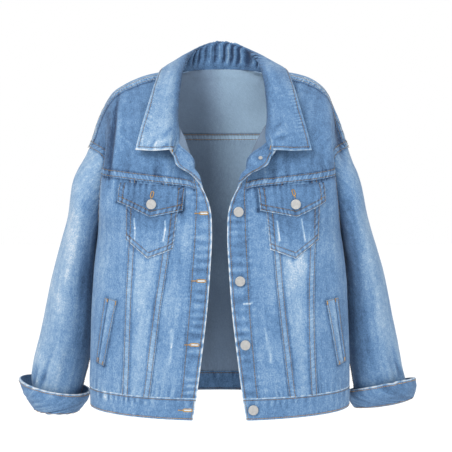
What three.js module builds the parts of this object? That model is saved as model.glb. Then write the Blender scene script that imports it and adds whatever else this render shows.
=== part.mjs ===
// Denim jacket, open at the front, filled out as if worn, with nobody in it.
// Millimetres. +X is the wearer's left, -Y the front, +Z up.
// The origin is on the centre plane, at the height of the neck ends of the shoulders.
import * as THREE from 'three';

// Cloth and clearances
const CLOTH = 2;              // one layer of denim with its seam allowances
const DOUBLE_CLOTH = 3;       // placket, waistband and cuff are folded double
const COLLAR_CLOTH = 1.8;
const COLLAR_LIFT = 0.6;       // from the neck seam to the collar's foot
const SEAM_GAP = 0.3;         // between neighbouring pieces
const LIE_GAP = 0.9;          // between a panel and what lies on it
const FRONT_ROUND = 2.6;      // superellipse power of the front half of a section
const BACK_ROUND = 2.0;

// The chest lies a little to the wearer's left of the hem: by how much, and where that begins and ends
const LEAN = { by: 6.5, fromZ: -420, toZ: -210, fullX: 120, armholeX: 140, sleeveX: 200 };
// The wearer's left shoulder lies a little further in than the right one
const LEFT_SHOULDER = { by: 4.5, fromX: 150, toX: 205, fromZ: -330, toZ: -170 };

// Buttons
const BUTTON_RADIUS = 8;
const BUTTON_THICK = 2.4;
const SHANK_RADIUS = 3;
const SHANK_HEIGHT = 2.2;
const TACK_RADIUS = 3.2;
const TACK_THICK = 1.6;
const BUTTON_SIDES = 20;

// Torso sections from hem to underarm: half width, front and back depth, where the side seam lies,
// how far the front dips below the side, and how far from the centre plane the front's seams are,
// and the back's side-panel seam
const TORSO = [
  { name: 'hem', z: -559.2, width: 216, front: 112, back: 107, sideY: -15, dip: 9.5,
    edge: 42.5, placket: 70.0, inner: 116, outer: 159, backSeam: 74 },
  { name: 'bandTop', z: -525.5, width: 217, front: 113, back: 107, sideY: -15, dip: 8,
    edge: 36.5, placket: 62.5, inner: 110, outer: 156, backSeam: 78 },
  { name: 'low', z: -466, width: 217, front: 113, back: 107, sideY: -14, dip: 4,
    edge: 28.0, placket: 56.0, inner: 102, outer: 153, backSeam: 86 },
  { name: 'waist', z: -400, width: 215, front: 113, back: 107, sideY: -12, dip: 2,
    edge: 20.0, placket: 50.0, inner: 94, outer: 151, backSeam: 94 },
  { name: 'ribs', z: -330, width: 211, front: 112, back: 108, sideY: -8, dip: 0,
    edge: 14.5, placket: 45.5, inner: 85, outer: 150, backSeam: 102 },
  { name: 'underarm', z: -270, width: 205, front: 110, back: 109, sideY: 0, dip: 0,
    edge: 12.0, placket: 42.0, inner: 80, outer: 150, backSeam: 107 },
];

// Front above the underarm: one row for each line across the wearer's left front
const FRONT_COLUMNS = [
  'edge', 'strip', 'placket', 'roll', 'under', 'inner', 'outer', 'corner', 'valley', 'arm',
];
const FRONT_TOP = [
  { name: 'flap', edge: [14, -108, -238], strip: [27, -109, -238], placket: [41, -108, -238],
    roll: [50, -107, -238], under: [62, -106, -238], inner: [82, -105, -238], outer: [150, -94, -237],
    corner: [194, -62, -236], valley: [198, -46, -236], arm: [199, -31, -236] },
  { name: 'yoke', edge: [23, -108, -211], strip: [31, -109, -207], placket: [40.5, -107, -204],
    roll: [48, -106, -201], under: [59, -105, -199], inner: [84, -103, -196], outer: [150, -92, -188],
    corner: [190, -66, -180], valley: [192, -55, -178], arm: [192, -47, -178] },
  { name: 'turn', edge: [45, -115, -183], strip: [34, -111, -185], placket: [44, -105, -188],
    roll: [51, -101, -186], under: [61, -100, -185], inner: [87, -99, -181], outer: [150, -90, -175],
    corner: [189, -65, -169], valley: [190, -53, -167], arm: [191, -49, -167] },
  { name: 'lapel', edge: [73, -114, -164], strip: [58, -113, -161], placket: [44, -105, -159],
    roll: [48, -97, -161], under: [62, -95, -163], inner: [91, -96, -164], outer: [150, -87, -161],
    corner: [188.5, -64, -157], valley: [189, -51, -156], arm: [191, -50, -156] },
  { name: 'neck', edge: [76, -105, -152], strip: [73, -101, -143], placket: [69, -97, -132],
    roll: [56, -90, -131], under: [66, -86, -132], inner: [94, -90, -136], outer: [150, -83, -140],
    corner: [187, -61, -140], valley: [188.5, -49, -141], arm: [196, -46, -146] },
  { name: 'chest', placket: [74, -60, -86], roll: [77, -63, -88], under: [83, -67, -91],
    inner: [100, -75, -97], outer: [149, -71, -103], corner: [184, -53, -105], valley: [190, -40, -114],
    arm: [207, -31, -138] },
  { name: 'high', placket: [80, -31, -41], roll: [83, -34, -43], under: [89, -38, -46],
    inner: [104, -46, -52], outer: [147, -45, -61], corner: [181, -35, -70], valley: [196, -24, -92],
    arm: [217, -14, -132] },
  { name: 'shoulder', placket: [84, -11, -5], roll: [87.5, -11, -5.3], under: [93, -11, -6.2],
    inner: [106, -11, -8.5], outer: [146, -11, -19], corner: [179, -11, -39], valley: [200, -9, -74],
    arm: [220.5, -5, -129.5] },
];

// Back above the underarm, from the centre plane to the armhole
const BACK_COLUMNS = [
  'centre', 'half', 'placket', 'roll', 'under', 'inner', 'outer', 'corner', 'valley', 'arm',
];
const BACK_TOP = [
  { name: 'blade', centre: [0, 110, -195], half: [40, 109, -195], placket: [70, 105, -195],
    roll: [78, 103, -195], under: [90, 100, -195], inner: [112, 92, -195], outer: [146, 79, -195],
    corner: [180, 58, -195], valley: [193, 46, -194], arm: [197, 40, -192] },
  { name: 'backYoke', centre: [0, 105, -107], half: [40, 104, -107], placket: [70, 101, -107],
    roll: [78, 99, -107], under: [90, 96, -107], inner: [112, 89, -107], outer: [147, 76, -108],
    corner: [182, 56, -114], valley: [197, 44, -126], arm: [208, 34, -140] },
  { name: 'upper', centre: [0, 90, -45], half: [40, 88, -45], placket: [74, 77, -46],
    roll: [82, 73, -46], under: [92, 69, -47], inner: [112, 61, -50], outer: [148, 50, -57],
    corner: [183, 38, -75], valley: [203, 27, -100], arm: [218, 19, -133] },
  { name: 'neck', centre: [0, 76, -5], half: [42, 68, -7], placket: [80, 40, -12],
    roll: [86, 37, -13], under: [94, 35, -14], inner: [111, 31, -17], outer: [147, 26, -26],
    corner: [182, 20, -48], valley: [204, 15, -83], arm: [221.5, 10, -130] },
  { name: 'ridge', centre: [0, 70, 7], half: [43, 61, 4], placket: [83, 9, 3.5],
    roll: [87, 6, 3.5], under: [93, 5, 2.8], inner: [106, 5, 0.8], outer: [146, 5, -9.5],
    corner: [181, 5, -31], valley: [203, 4, -70], arm: [222.5, 3, -128.5] },
  { name: 'shoulder', centre: [0, 65, 16], half: [44, 54, 13] },
];
const BACK_HALF_X = 40;

// Sleeve sections below the armhole: the inner and outer side's x and z, the front and back y,
// and how far the section goes with its cuff
const SLEEVE = [
  { name: 'head',  inX: 208, inZ: -285, outX: 241, outZ: -170, frontY: -53, backY: 62, follow: 0 },
  { name: 'bicep', inX: 211, inZ: -308, outX: 258, outZ: -246, frontY: -46, backY: 78, follow: 0 },
  { name: 'elbow', inX: 213, inZ: -358, outX: 285, outZ: -338, frontY: -30, backY: 86, follow: 0 },
  { name: 'fore',  inX: 217, inZ: -452, outX: 307, outZ: -442, frontY: -20, backY: 82, follow: 0.3 },
  { name: 'wrist', inX: 233, inZ: -530, outX: 322, outZ: -520, frontY: -12, backY: 67, follow: 0.6 },
];

// Each turned-up cuff's fold at the bottom and its open rim, as tilted ellipses, and how far the sleeve's end
// stays inside the fold and above it
const CUFFS = {
  left: {
    fold: { x: 283, y: 28, z: -568.5, halfX: 50, halfY: 34, slopeX: 0.16, slopeY: -0.07 },
    rim:  { x: 279.5, y: 28, z: -534.3, halfX: 57.5, halfY: 53, slopeX: 0.187, slopeY: -0.15 },
  },
  right: {
    fold: { x: 283, y: 28, z: -579.5, halfX: 37, halfY: 43, slopeX: 0.07, slopeY: 0 },
    rim:  { x: 286, y: 28, z: -535.7, halfX: 61.5, halfY: 53, slopeX: 0.198, slopeY: 0.06 },
  },
};
const SLEEVE_END = { inside: 3.5, above: 1.2 };
// The two sleeves hang a little unlike: how far each lies outwards at the elbow and the wrist, and how far up
const HANG = {
  left:  { sleeve: -4, cuff: -5, up: 5 },
  right: { sleeve: 1.5, cuff: 5, up: -1 },
};
const CUFF_SIDES = 28;
const CUFF_BULGE = 4;         // how far the cuff bows outwards between fold and rim

// Collar above its neck seam, from the front end to the centre of the back
const COLLAR = [
  { name: 'end',      stand: [82, -108, -143], fold: [78, -112, -142], crest: [83, -116, -142],
    leaf: [110, -112, -143], edge: [140, -103, -141] },
  { name: 'corner',   stand: [73, -101, -127], fold: [75, -103, -120], crest: [82, -107, -118],
    leaf: [107, -105, -117], edge: [135, -98, -118] },
  { name: 'front',    stand: [72, -62, -79],   fold: [73, -69, -72],   crest: [82, -74, -69],
    leaf: [104, -81, -74],   edge: [125, -82, -77] },
  { name: 'side',     stand: [74, -31, -26],   fold: [67, -32, -12],   crest: [78, -35, -4],
    leaf: [97, -41, -14],    edge: [115, -43, -28] },
  { name: 'shoulder', stand: [74, 4, 9],       fold: [60, 6, 19],      crest: [76, 12, 23],
    leaf: [94, 13, 16],      edge: [107, 8, 5] },
  { name: 'rear',     stand: [61, 33, 24],     fold: [51, 38, 39],     crest: [62, 52, 43],
    leaf: [80, 63, 22],      edge: [93, 67, -13] },
  { name: 'nape',     stand: [31, 60, 35],     fold: [29, 61, 57],     crest: [33, 73, 59],
    leaf: [42, 88, 28],      edge: [52, 95, -14] },
  { name: 'centre',   stand: [0, 67, 40],      fold: [0, 69, 65],      crest: [0, 80, 67],
    leaf: [0, 95, 32],       edge: [0, 103, -12] },
];

// Chest pocket and its flap, seen from the front, from the placket side to the armhole side
const FLAP = {
  topInner: [57, -202],
  topOuter: [163, -192],
  lowInner: [61, -238],
  tip: [115.5, -248],
  lowOuter: [165, -223],
};
const POCKET = {
  topInner: [68, -226],
  topOuter: [154, -219],
  lowInner: [76.5, -299],
  tip: [117, -314],
  lowOuter: [154, -284],
};
const FLAP_LIFT = 3.2;        // the flap's lower part lies over the pocket
const FLAP_TURN = 0.35;       // share of its height over which it rises from its seam
const FLAP_CLOTH = 2.2;
const PATCH_CLOTH = 1.4;
const WELT = {
  topInner: [170, -381], topOuter: [189, -377], lowInner: [191.5, -487], lowOuter: [205, -482],
};
const WELT_SHIFT = { left: 0, right: -6 };
const WELT_CLOTH = 1.4;

// Buttons on the wearer's left front, seen from the front
const FRONT_BUTTONS = [
  { name: 'button_chest', x: 29, z: -240 },
  { name: 'button_ribs',  x: 32, z: -349 },
  { name: 'button_waist', x: 40.5, z: -449 },
  { name: 'button_band',  x: 53, z: -551 },
];
const FLAP_BUTTON = { x: 113, z: -228 };
const NECK_TACK = { across: 1.0, row: 9.2 };  // on the turned-out facing, in columns and rows of the front

// Fineness of the grids: steps between the control columns and rows
const FRONT_STEPS = [1, 1, 1, 1, 1, 3, 3, 2, 1];
const BACK_STEPS = [3, 3, 1, 1, 1, 2, 3, 2, 1];
const LOWER_STEPS = [1, 2, 2, 2, 2];
const UPPER_FRONT_STEPS = [2, 3, 1, 1, 1, 2, 2, 2];
const UPPER_BACK_STEPS = [4, 4, 2, 2, 1, 1];
const SLEEVE_STEPS = [2, 2, 2, 3, 3, 2];
const COLLAR_ROW_STEPS = [2, 2, 2, 2, 2, 2, 2];
const COLLAR_COLUMN_STEPS = [1, 1, 1, 2, 2];

const vec = (p) => new THREE.Vector3(...p);

// Point on a smooth curve through the points; s counts them
function curve(points, s) {
  const last = points.length - 1;
  const i = Math.min(Math.max(Math.floor(s), 0), last - 1);
  const f = s - i;
  const slope = (k) => {
    const before = k > 0 ? points[k].clone().sub(points[k - 1]) : null;
    const after = k < last ? points[k + 1].clone().sub(points[k]) : null;
    if (!before) return after.divideScalar(Math.max(after.length(), 1e-6));
    if (!after) return before.divideScalar(Math.max(before.length(), 1e-6));
    const a = Math.max(before.length(), 1e-6);
    const b = Math.max(after.length(), 1e-6);
    return before.multiplyScalar(b / a).add(after.multiplyScalar(a / b)).divideScalar(a + b);
  };
  const span = points[i].distanceTo(points[i + 1]);
  const f2 = f * f;
  const f3 = f2 * f;
  return points[i].clone().multiplyScalar(2 * f3 - 3 * f2 + 1)
    .add(slope(i).multiplyScalar((f3 - 2 * f2 + f) * span))
    .add(points[i + 1].clone().multiplyScalar(3 * f2 - 2 * f3))
    .add(slope(i + 1).multiplyScalar((f3 - f2) * span));
}

// A net is an array of rows of points; s runs along a row, t across the rows
const netPoint = (net, s, t) => {
  const first = Math.min(Math.max(Math.floor(t) - 1, 0), Math.max(net.length - 4, 0));
  const rows = net.slice(first, first + 4);
  return curve(rows.map((row) => curve(row, s)), t - first);
};

// Outward normal of a net whose rows run from front to side as t climbs
function netNormal(net, s, t, turn) {
  const d = 0.02;
  const sMax = net[0].length - 1;
  const tMax = net.length - 1;
  const along = netPoint(net, Math.min(s + d, sMax), t).sub(netPoint(net, Math.max(s - d, 0), t));
  const up = netPoint(net, s, Math.min(t + d, tMax)).sub(netPoint(net, s, Math.max(t - d, 0)));
  return along.cross(up).normalize().multiplyScalar(turn);
}

// Depth of a torso section at a distance from the centre plane
function torsoY(section, x, isFront) {
  const power = isFront ? FRONT_ROUND : BACK_ROUND;
  const reach = isFront ? -section.front - section.sideY : section.back - section.sideY;
  const share = Math.min(Math.abs(x) / section.width, 1);
  return section.sideY + reach * (1 - share ** power) ** (1 / power);
}

function frontRow(section) {
  const { placket, inner, outer, width } = section;
  const xs = {
    edge: section.edge,
    strip: (section.edge + placket) / 2,
    placket,
    roll: placket + (inner - placket) * 0.2,
    under: placket + (inner - placket) * 0.5,
    inner,
    outer,
    corner: outer + (width - outer) * 0.66,
    valley: outer + (width - outer) * 0.93,
    arm: width,
  };
  const drop = (x) => section.dip * (1 - (x / width) ** 2);
  return FRONT_COLUMNS.map((c) => vec([xs[c], torsoY(section, xs[c], true), section.z - drop(xs[c])]));
}

function backRow(section) {
  const { backSeam, width } = section;
  const xs = {
    centre: 0,
    half: BACK_HALF_X * backSeam / 110,
    placket: backSeam * 0.62,
    roll: backSeam * 0.72,
    under: backSeam * 0.84,
    inner: backSeam,
    outer: backSeam + (width - backSeam) * 0.45,
    corner: backSeam + (width - backSeam) * 0.8,
    valley: backSeam + (width - backSeam) * 0.96,
    arm: width,
  };
  return BACK_COLUMNS.map((c) => vec([xs[c], torsoY(section, xs[c], false), section.z]));
}

// Above the neck the front has no strip: its two first columns only carry the curve on
function topRow(row, columns) {
  const points = columns.map((c) => (row[c] ? vec(row[c]) : null));
  for (let k = 1; k >= 0; k -= 1) {
    if (!points[k]) points[k] = points[k + 1].clone().multiplyScalar(2).sub(points[k + 2]);
  }
  return points;
}

const shoulderRow = FRONT_TOP[FRONT_TOP.length - 1];
const frontNet = [...TORSO.map(frontRow), ...FRONT_TOP.map((row) => topRow(row, FRONT_COLUMNS))];
const backNet = [
  ...TORSO.map(backRow),
  ...BACK_TOP.map((row) => topRow(row.name === 'shoulder' ? { ...shoulderRow, ...row } : row, BACK_COLUMNS)),
];
const ROW = Object.fromEntries([...TORSO, ...FRONT_TOP].map((row, k) => [row.name, k]));
const BACK_YOKE_ROW = TORSO.length + 1;
const FRONT_LAST = frontNet.length - 1;
const BACK_LAST = backNet.length - 1;
const COL = Object.fromEntries(FRONT_COLUMNS.map((name, k) => [name, k]));

// Values from one control line to another, with so many steps between each two
function samples(from, to, steps, base = 0) {
  const out = [];
  for (let k = from; k < to; k += 1) {
    for (let j = 0; j < steps[k - base]; j += 1) out.push(k + j / steps[k - base]);
  }
  out.push(to);
  return out;
}

// Lines that two nets share are read from one curve, so that both sides of a seam agree
const sideLine = frontNet.slice(0, ROW.underarm + 1).map((row) => row[COL.arm]);
const armFront = frontNet.slice(ROW.underarm).map((row) => row[COL.arm]);
const armBack = backNet.slice(ROW.underarm).map((row) => row[COL.arm]);
const shoulderLine = frontNet[FRONT_LAST].slice(COL.placket);

function bodyPoint(isFront, s, t) {
  const net = isFront ? frontNet : backNet;
  if (s === COL.arm && t <= ROW.underarm) return curve(sideLine, t);
  if (s === COL.arm) return curve(isFront ? armFront : armBack, t - ROW.underarm);
  if (t === net.length - 1 && s >= COL.placket) return curve(shoulderLine, s - COL.placket);
  return netPoint(net, s, t);
}

function bodyNormal(isFront, s, t) {
  const own = netNormal(isFront ? frontNet : backNet, s, t, isFront ? 1 : -1);
  if (s === COL.arm && t <= ROW.underarm) {
    return own.add(netNormal(isFront ? backNet : frontNet, s, t, isFront ? -1 : 1)).normalize();
  }
  if (isFront && t === FRONT_LAST) return own.add(netNormal(backNet, s, BACK_LAST, -1)).normalize();
  if (!isFront && t === BACK_LAST && s >= COL.placket) {
    return own.add(netNormal(frontNet, s, FRONT_LAST, 1)).normalize();
  }
  return own;
}

// A grid of outer points and a grid of inner points make one closed wall
function wall(outer, inner, closedAround = false) {
  const rows = outer.length;
  const columns = outer[0].length;
  const positions = [];
  for (const grid of [outer, inner]) {
    for (const row of grid) for (const p of row) positions.push(p.x, p.y, p.z);
  }
  const at = (side, i, j) => side * rows * columns + i * columns + (j % columns);
  const faces = [];
  const quad = (a, b, c, d) => faces.push(a, b, c, a, c, d);
  const spans = closedAround ? columns : columns - 1;
  for (let i = 0; i < rows - 1; i += 1) {
    for (let j = 0; j < spans; j += 1) {
      quad(at(0, i, j), at(0, i, j + 1), at(0, i + 1, j + 1), at(0, i + 1, j));
      quad(at(1, i, j), at(1, i + 1, j), at(1, i + 1, j + 1), at(1, i, j + 1));
    }
    if (!closedAround) {
      quad(at(0, i, 0), at(0, i + 1, 0), at(1, i + 1, 0), at(1, i, 0));
      const last = columns - 1;
      quad(at(0, i, last), at(1, i, last), at(1, i + 1, last), at(0, i + 1, last));
    }
  }
  for (let j = 0; j < spans; j += 1) {
    quad(at(0, 0, j), at(1, 0, j), at(1, 0, j + 1), at(0, 0, j + 1));
    quad(at(0, rows - 1, j), at(0, rows - 1, j + 1), at(1, rows - 1, j + 1), at(1, rows - 1, j));
  }
  const geometry = new THREE.BufferGeometry();
  geometry.setAttribute('position', new THREE.Float32BufferAttribute(positions, 3));
  geometry.setIndex(signedVolume(positions, faces) < 0 ? flipped(faces) : faces);
  geometry.computeVertexNormals();
  return geometry;
}

function signedVolume(positions, faces) {
  const corner = (k) => new THREE.Vector3().fromArray(positions, faces[k] * 3);
  let sum = 0;
  for (let k = 0; k < faces.length; k += 3) sum += corner(k).dot(corner(k + 1).cross(corner(k + 2)));
  return sum / 6;
}

function flipped(faces) {
  const out = [];
  for (let k = 0; k < faces.length; k += 3) out.push(faces[k], faces[k + 2], faces[k + 1]);
  return out;
}

// Moves a grid's border points inwards, so that neighbouring pieces stay apart
function drawnIn(grid, closedAround, by = SEAM_GAP / 2) {
  const pull = (p, q) => p.clone().add(q.clone().sub(p).setLength(by));
  const rows = grid.length - 1;
  const columns = grid[0].length - 1;
  const out = grid.map((row) => row.map((p) => p.clone()));
  if (!closedAround) {
    for (let i = 0; i <= rows; i += 1) {
      out[i][0] = pull(grid[i][0], grid[i][1]);
      out[i][columns] = pull(grid[i][columns], grid[i][columns - 1]);
    }
  }
  for (let j = 0; j <= columns; j += 1) {
    out[0][j].add(pull(grid[0][j], grid[1][j]).sub(grid[0][j]));
    out[rows][j].add(pull(grid[rows][j], grid[rows - 1][j]).sub(grid[rows][j]));
  }
  return out;
}

const { smoothstep } = THREE.MathUtils;

// A point of the symmetric pattern on one side of the jacket; side -1 is the wearer's right
function placed(p, side) {
  const out = Math.abs(p.x);
  const share = smoothstep(p.z, LEAN.fromZ, LEAN.toZ) * smoothstep(out, 0, LEAN.fullX);
  const lean = LEAN.by * share * (1 - smoothstep(out, LEAN.armholeX, LEAN.sleeveX));
  const { by, fromX, toX, fromZ, toZ } = LEFT_SHOULDER;
  const drawn = side > 0 ? by * smoothstep(out, fromX, toX) * smoothstep(p.z, fromZ, toZ) : 0;
  return new THREE.Vector3(side * p.x + lean - drawn, p.y, p.z);
}

const placedGrid = (grid, side) => grid.map((row) => row.map((p) => placed(p, side)));

// A piece of the body, from its columns and rows
function bodyGrids(isFront, ss, ts, thick, side) {
  const outer = ts.map((t) => ss.map((s) => bodyPoint(isFront, s, t)));
  const inner = ts.map((t, i) => ss.map((s, j) => (
    outer[i][j].clone().addScaledVector(bodyNormal(isFront, s, t), -thick))));
  return [placedGrid(outer, side), placedGrid(inner, side)];
}

function bodyPiece(isFront, ss, ts, thick, side) {
  const [outer, inner] = bodyGrids(isFront, ss, ts, thick, side);
  return wall(drawnIn(outer), drawnIn(inner));
}

// A piece that crosses the centre of the back is one grid from side to side
function acrossBack(ss, ts, thick) {
  const [leftOuter, leftInner] = bodyGrids(false, ss, ts, thick, 1);
  const [rightOuter, rightInner] = bodyGrids(false, ss, ts, thick, -1);
  const join = (right, left) => right.map((row, i) => [...row.slice(1).reverse(), ...left[i]]);
  return wall(drawnIn(join(rightOuter, leftOuter)), drawnIn(join(rightInner, leftInner)));
}

// The waistband runs from front edge to front edge round the back
function waistband(thick) {
  const ts = samples(0, ROW.bandTop, LOWER_STEPS);
  const frontS = samples(COL.edge, COL.arm, FRONT_STEPS);
  const backS = samples(0, COL.arm, BACK_STEPS);
  const grids = [0, 1].map((k) => {
    const part = (isFront, ss, side) => bodyGrids(isFront, ss, ts, thick, side)[k];
    const [fl, bl] = [part(true, frontS, 1), part(false, backS, 1)];
    const [fr, br] = [part(true, frontS, -1), part(false, backS, -1)];
    return ts.map((_, i) => [
      ...fr[i], ...br[i].slice(0, -1).reverse(), ...bl[i].slice(1), ...fl[i].slice(0, -1).reverse(),
    ]);
  });
  return wall(drawnIn(grids[0]), drawnIn(grids[1]));
}

// The armhole seam as one ring: underarm, front, shoulder, back
const armFrontT = samples(ROW.underarm, FRONT_LAST, UPPER_FRONT_STEPS, ROW.underarm);
const armBackT = samples(ROW.underarm, BACK_LAST, UPPER_BACK_STEPS, ROW.underarm);
const armRing = [
  ...armFrontT.map((t) => bodyPoint(true, COL.arm, t)),
  ...armBackT.slice(1, -1).reverse().map((t) => bodyPoint(false, COL.arm, t)),
];

// Share of the ring's length at each of its points
function ringShares(ring) {
  const lengths = ring.map((p, k) => p.distanceTo(ring[(k + 1) % ring.length]));
  const total = lengths.reduce((a, b) => a + b, 0);
  let run = 0;
  return lengths.map((length) => {
    const share = run / total;
    run += length;
    return share;
  });
}

// A sleeve section moved as its side hangs
function hung(section, hang) {
  const { inX, inZ, outX, outZ, follow } = section;
  return {
    ...section,
    inX: inX + hang.cuff * follow,
    outX: outX + THREE.MathUtils.lerp(hang.sleeve, hang.cuff, follow),
    inZ: inZ + hang.up * follow,
    outZ: outZ + hang.up * follow,
  };
}

// The sleeve's last section, just inside the cuff's fold
function sleeveEnd(fold) {
  const halfX = fold.halfX - SLEEVE_END.inside;
  const halfY = fold.halfY - SLEEVE_END.inside;
  return {
    inX: fold.x - halfX,
    inZ: fold.z - fold.slopeX * halfX + SLEEVE_END.above,
    outX: fold.x + halfX,
    outZ: fold.z + fold.slopeX * halfX + SLEEVE_END.above,
    frontY: fold.y - halfY,
    backY: fold.y + halfY,
  };
}

function sleeveRing(section, shares) {
  return shares.map((share) => {
    const angle = share * 2 * Math.PI;
    const out = (1 - Math.cos(angle)) / 2;
    const midY = (section.frontY + section.backY) / 2;
    const halfY = (section.backY - section.frontY) / 2;
    return new THREE.Vector3(
      THREE.MathUtils.lerp(section.inX, section.outX, out),
      midY - halfY * Math.sin(angle),
      THREE.MathUtils.lerp(section.inZ, section.outZ, out),
    );
  });
}

// Outward normals of a tube given as rings of points
function tubeNormals(grid) {
  const rows = grid.length;
  const n = grid[0].length;
  return grid.map((ring, i) => ring.map((_, j) => {
    const around = grid[i][(j + 1) % n].clone().sub(grid[i][(j + n - 1) % n]);
    const down = grid[Math.min(i + 1, rows - 1)][j].clone().sub(grid[Math.max(i - 1, 0)][j]);
    return around.cross(down).normalize();
  }));
}

function sleeve(side, hang, fold) {
  const shares = ringShares(armRing);
  const sections = [...SLEEVE.map((section) => hung(section, hang)), sleeveEnd(fold)];
  const rings = [armRing, ...sections.map((section) => sleeveRing(section, shares))];
  const rows = samples(0, sections.length, SLEEVE_STEPS);
  const grid = rows.map((t) => armRing.map((_, j) => curve(rings.map((ring) => ring[j]), t)));
  const normals = tubeNormals(grid);
  grid[0] = grid[0].map((p, j) => p.clone().add(grid[1][j].clone().sub(p).setLength(SEAM_GAP * 2)));
  const inside = grid.map((ring, i) => ring.map((p, j) => p.clone().addScaledVector(normals[i][j], CLOTH)));
  return wall(placedGrid(grid, side), placedGrid(inside, side), true);
}

// The cuff's wall: up from the fold to the rim, bowed outwards
function cuff(side, { fold, rim }) {
  const heights = [0, 0.12, 0.4, 0.7, 1];
  const grid = heights.map((h) => {
    const ring = [];
    for (let k = 0; k < CUFF_SIDES; k += 1) {
      const angle = (k / CUFF_SIDES) * 2 * Math.PI;
      const mix = (name) => THREE.MathUtils.lerp(fold[name], rim[name], h);
      const bulge = CUFF_BULGE * Math.sin(Math.PI * h);
      const dx = (mix('halfX') + bulge) * Math.cos(angle);
      const dy = (mix('halfY') + bulge) * Math.sin(angle);
      const z = mix('z') + mix('slopeX') * dx + mix('slopeY') * dy;
      ring.push(new THREE.Vector3(side * (mix('x') + dx), mix('y') + dy, z));
    }
    return ring;
  });
  const normals = tubeNormals(grid);
  const centre = new THREE.Vector3(side * rim.x, rim.y, rim.z);
  const inside = grid.map((ring, i) => ring.map((p, j) => {
    const out = p.clone().sub(centre);
    const turn = Math.sign(normals[i][j].dot(out));
    return p.clone().addScaledVector(normals[i][j], -turn * DOUBLE_CLOTH);
  }));
  return wall(grid, inside, true);
}

// The neck seam, from the front end (0) over the shoulder to the centre of the back
const NECK_STEPS = { corner: 1, shoulder: 4, centre: COLLAR.length - 1 };

function neckAt(t) {
  const { corner, shoulder, centre } = NECK_STEPS;
  if (t < corner) return { isFront: true, s: COL.placket * t, t: ROW.neck, thick: DOUBLE_CLOTH };
  if (t < shoulder) {
    const row = THREE.MathUtils.lerp(ROW.neck, FRONT_LAST, (t - corner) / (shoulder - corner));
    return { isFront: true, s: COL.placket, t: row, thick: CLOTH };
  }
  const share = (centre - t) / (centre - shoulder);
  return { isFront: false, s: COL.placket * share, t: BACK_LAST, thick: CLOTH };
}

// The collar's foot: both faces of its wall, just past the neck seam
function collarFoot(t) {
  const d = 0.05;
  const point = (at) => bodyPoint(at.isFront, at.s, at.t);
  const here = neckAt(t);
  const ahead = point(neckAt(Math.min(t + d, NECK_STEPS.centre)));
  const along = ahead.sub(point(neckAt(Math.max(t - d, 0)))).normalize();
  const normal = netNormal(here.isFront ? frontNet : backNet, here.s, here.t, here.isFront ? 1 : -1);
  const out = normal.clone().cross(along).normalize();
  const seam = point(here).addScaledVector(out, COLLAR_LIFT);
  const spare = (here.thick - COLLAR_CLOTH) / 2;
  return {
    shown: seam.clone().addScaledVector(normal, -here.thick + spare),
    hidden: seam.clone().addScaledVector(normal, -spare),
  };
}

function collar() {
  const parts = ['stand', 'fold', 'crest', 'leaf', 'edge'];
  const half = COLLAR.map((row, k) => [collarFoot(k).shown, ...parts.map((name) => vec(row[name]))]);
  const mirror = (p) => new THREE.Vector3(-p.x, p.y, p.z);
  const net = [...half, ...half.slice(0, -1).reverse().map((row) => row.map(mirror))];
  const ss = samples(0, parts.length, COLLAR_COLUMN_STEPS);
  const ts = samples(0, net.length - 1, [...COLLAR_ROW_STEPS, ...COLLAR_ROW_STEPS.slice().reverse()]);
  const outer = ts.map((t) => ss.map((s) => netPoint(net, s, t)));
  const inner = ts.map((t, i) => ss.map((s, j) => (
    outer[i][j].clone().addScaledVector(netNormal(net, s, t, 1), -COLLAR_CLOTH))));
  ts.forEach((t, i) => {
    const foot = collarFoot(Math.min(t, net.length - 1 - t));
    outer[i][0] = t > NECK_STEPS.centre ? mirror(foot.shown) : foot.shown;
    inner[i][0] = t > NECK_STEPS.centre ? mirror(foot.hidden) : foot.hidden;
  });
  return wall(placedGrid(outer, 1), placedGrid(inner, 1));
}

// Where the front has a given x and z, as seen from the front, found by Newton's method
function frontAt(x, z) {
  const rounds = 40;
  const d = 0.01;
  const justInside = COL.arm - 0.02;
  let s = COL.outer;
  let t = ROW.ribs;
  for (let round = 0; round < rounds; round += 1) {
    const p = netPoint(frontNet, s, t);
    const ps = netPoint(frontNet, s + d, t).sub(p).divideScalar(d);
    const pt = netPoint(frontNet, s, t + d).sub(p).divideScalar(d);
    const det = ps.x * pt.z - pt.x * ps.z;
    const dx = x - p.x;
    const dz = z - p.z;
    const limit = (v) => Math.max(-1, Math.min(1, v));
    s += limit((dx * pt.z - dz * pt.x) / det);
    t += limit((dz * ps.x - dx * ps.z) / det);
    s = Math.max(0, Math.min(justInside, s));
    t = Math.max(0, Math.min(ROW.turn, t));
  }
  return [s, t];
}

// A piece that lies on the front: a sheet between a top edge and a bottom edge, which may have a tip
function lyingPiece(outline, thick, liftAt, side, columns, rows) {
  const mix = (a, b, f) => [a[0] + (b[0] - a[0]) * f, a[1] + (b[1] - a[1]) * f];
  const bottom = (f) => {
    if (!outline.tip) return mix(outline.lowInner, outline.lowOuter, f);
    const half = 0.5;
    if (f < half) return mix(outline.lowInner, outline.tip, f / half);
    return mix(outline.tip, outline.lowOuter, (f - half) / half);
  };
  const grids = [[], []];
  for (let i = 0; i <= rows; i += 1) {
    const line = [[], []];
    for (let j = 0; j <= columns; j += 1) {
      const f = j / columns;
      const [x, z] = mix(mix(outline.topInner, outline.topOuter, f), bottom(f), i / rows);
      const [s, t] = frontAt(x, z);
      const p = netPoint(frontNet, s, t);
      const n = netNormal(frontNet, s, t, 1);
      const lift = liftAt(i / rows);
      const outer = p.clone().addScaledVector(n, lift + thick);
      const inner = p.clone().addScaledVector(n, lift);
      line[0].push(placed(outer, side));
      line[1].push(placed(inner, side));
    }
    grids[0].push(line[0]);
    grids[1].push(line[1]);
  }
  return wall(grids[0], grids[1]);
}

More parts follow.
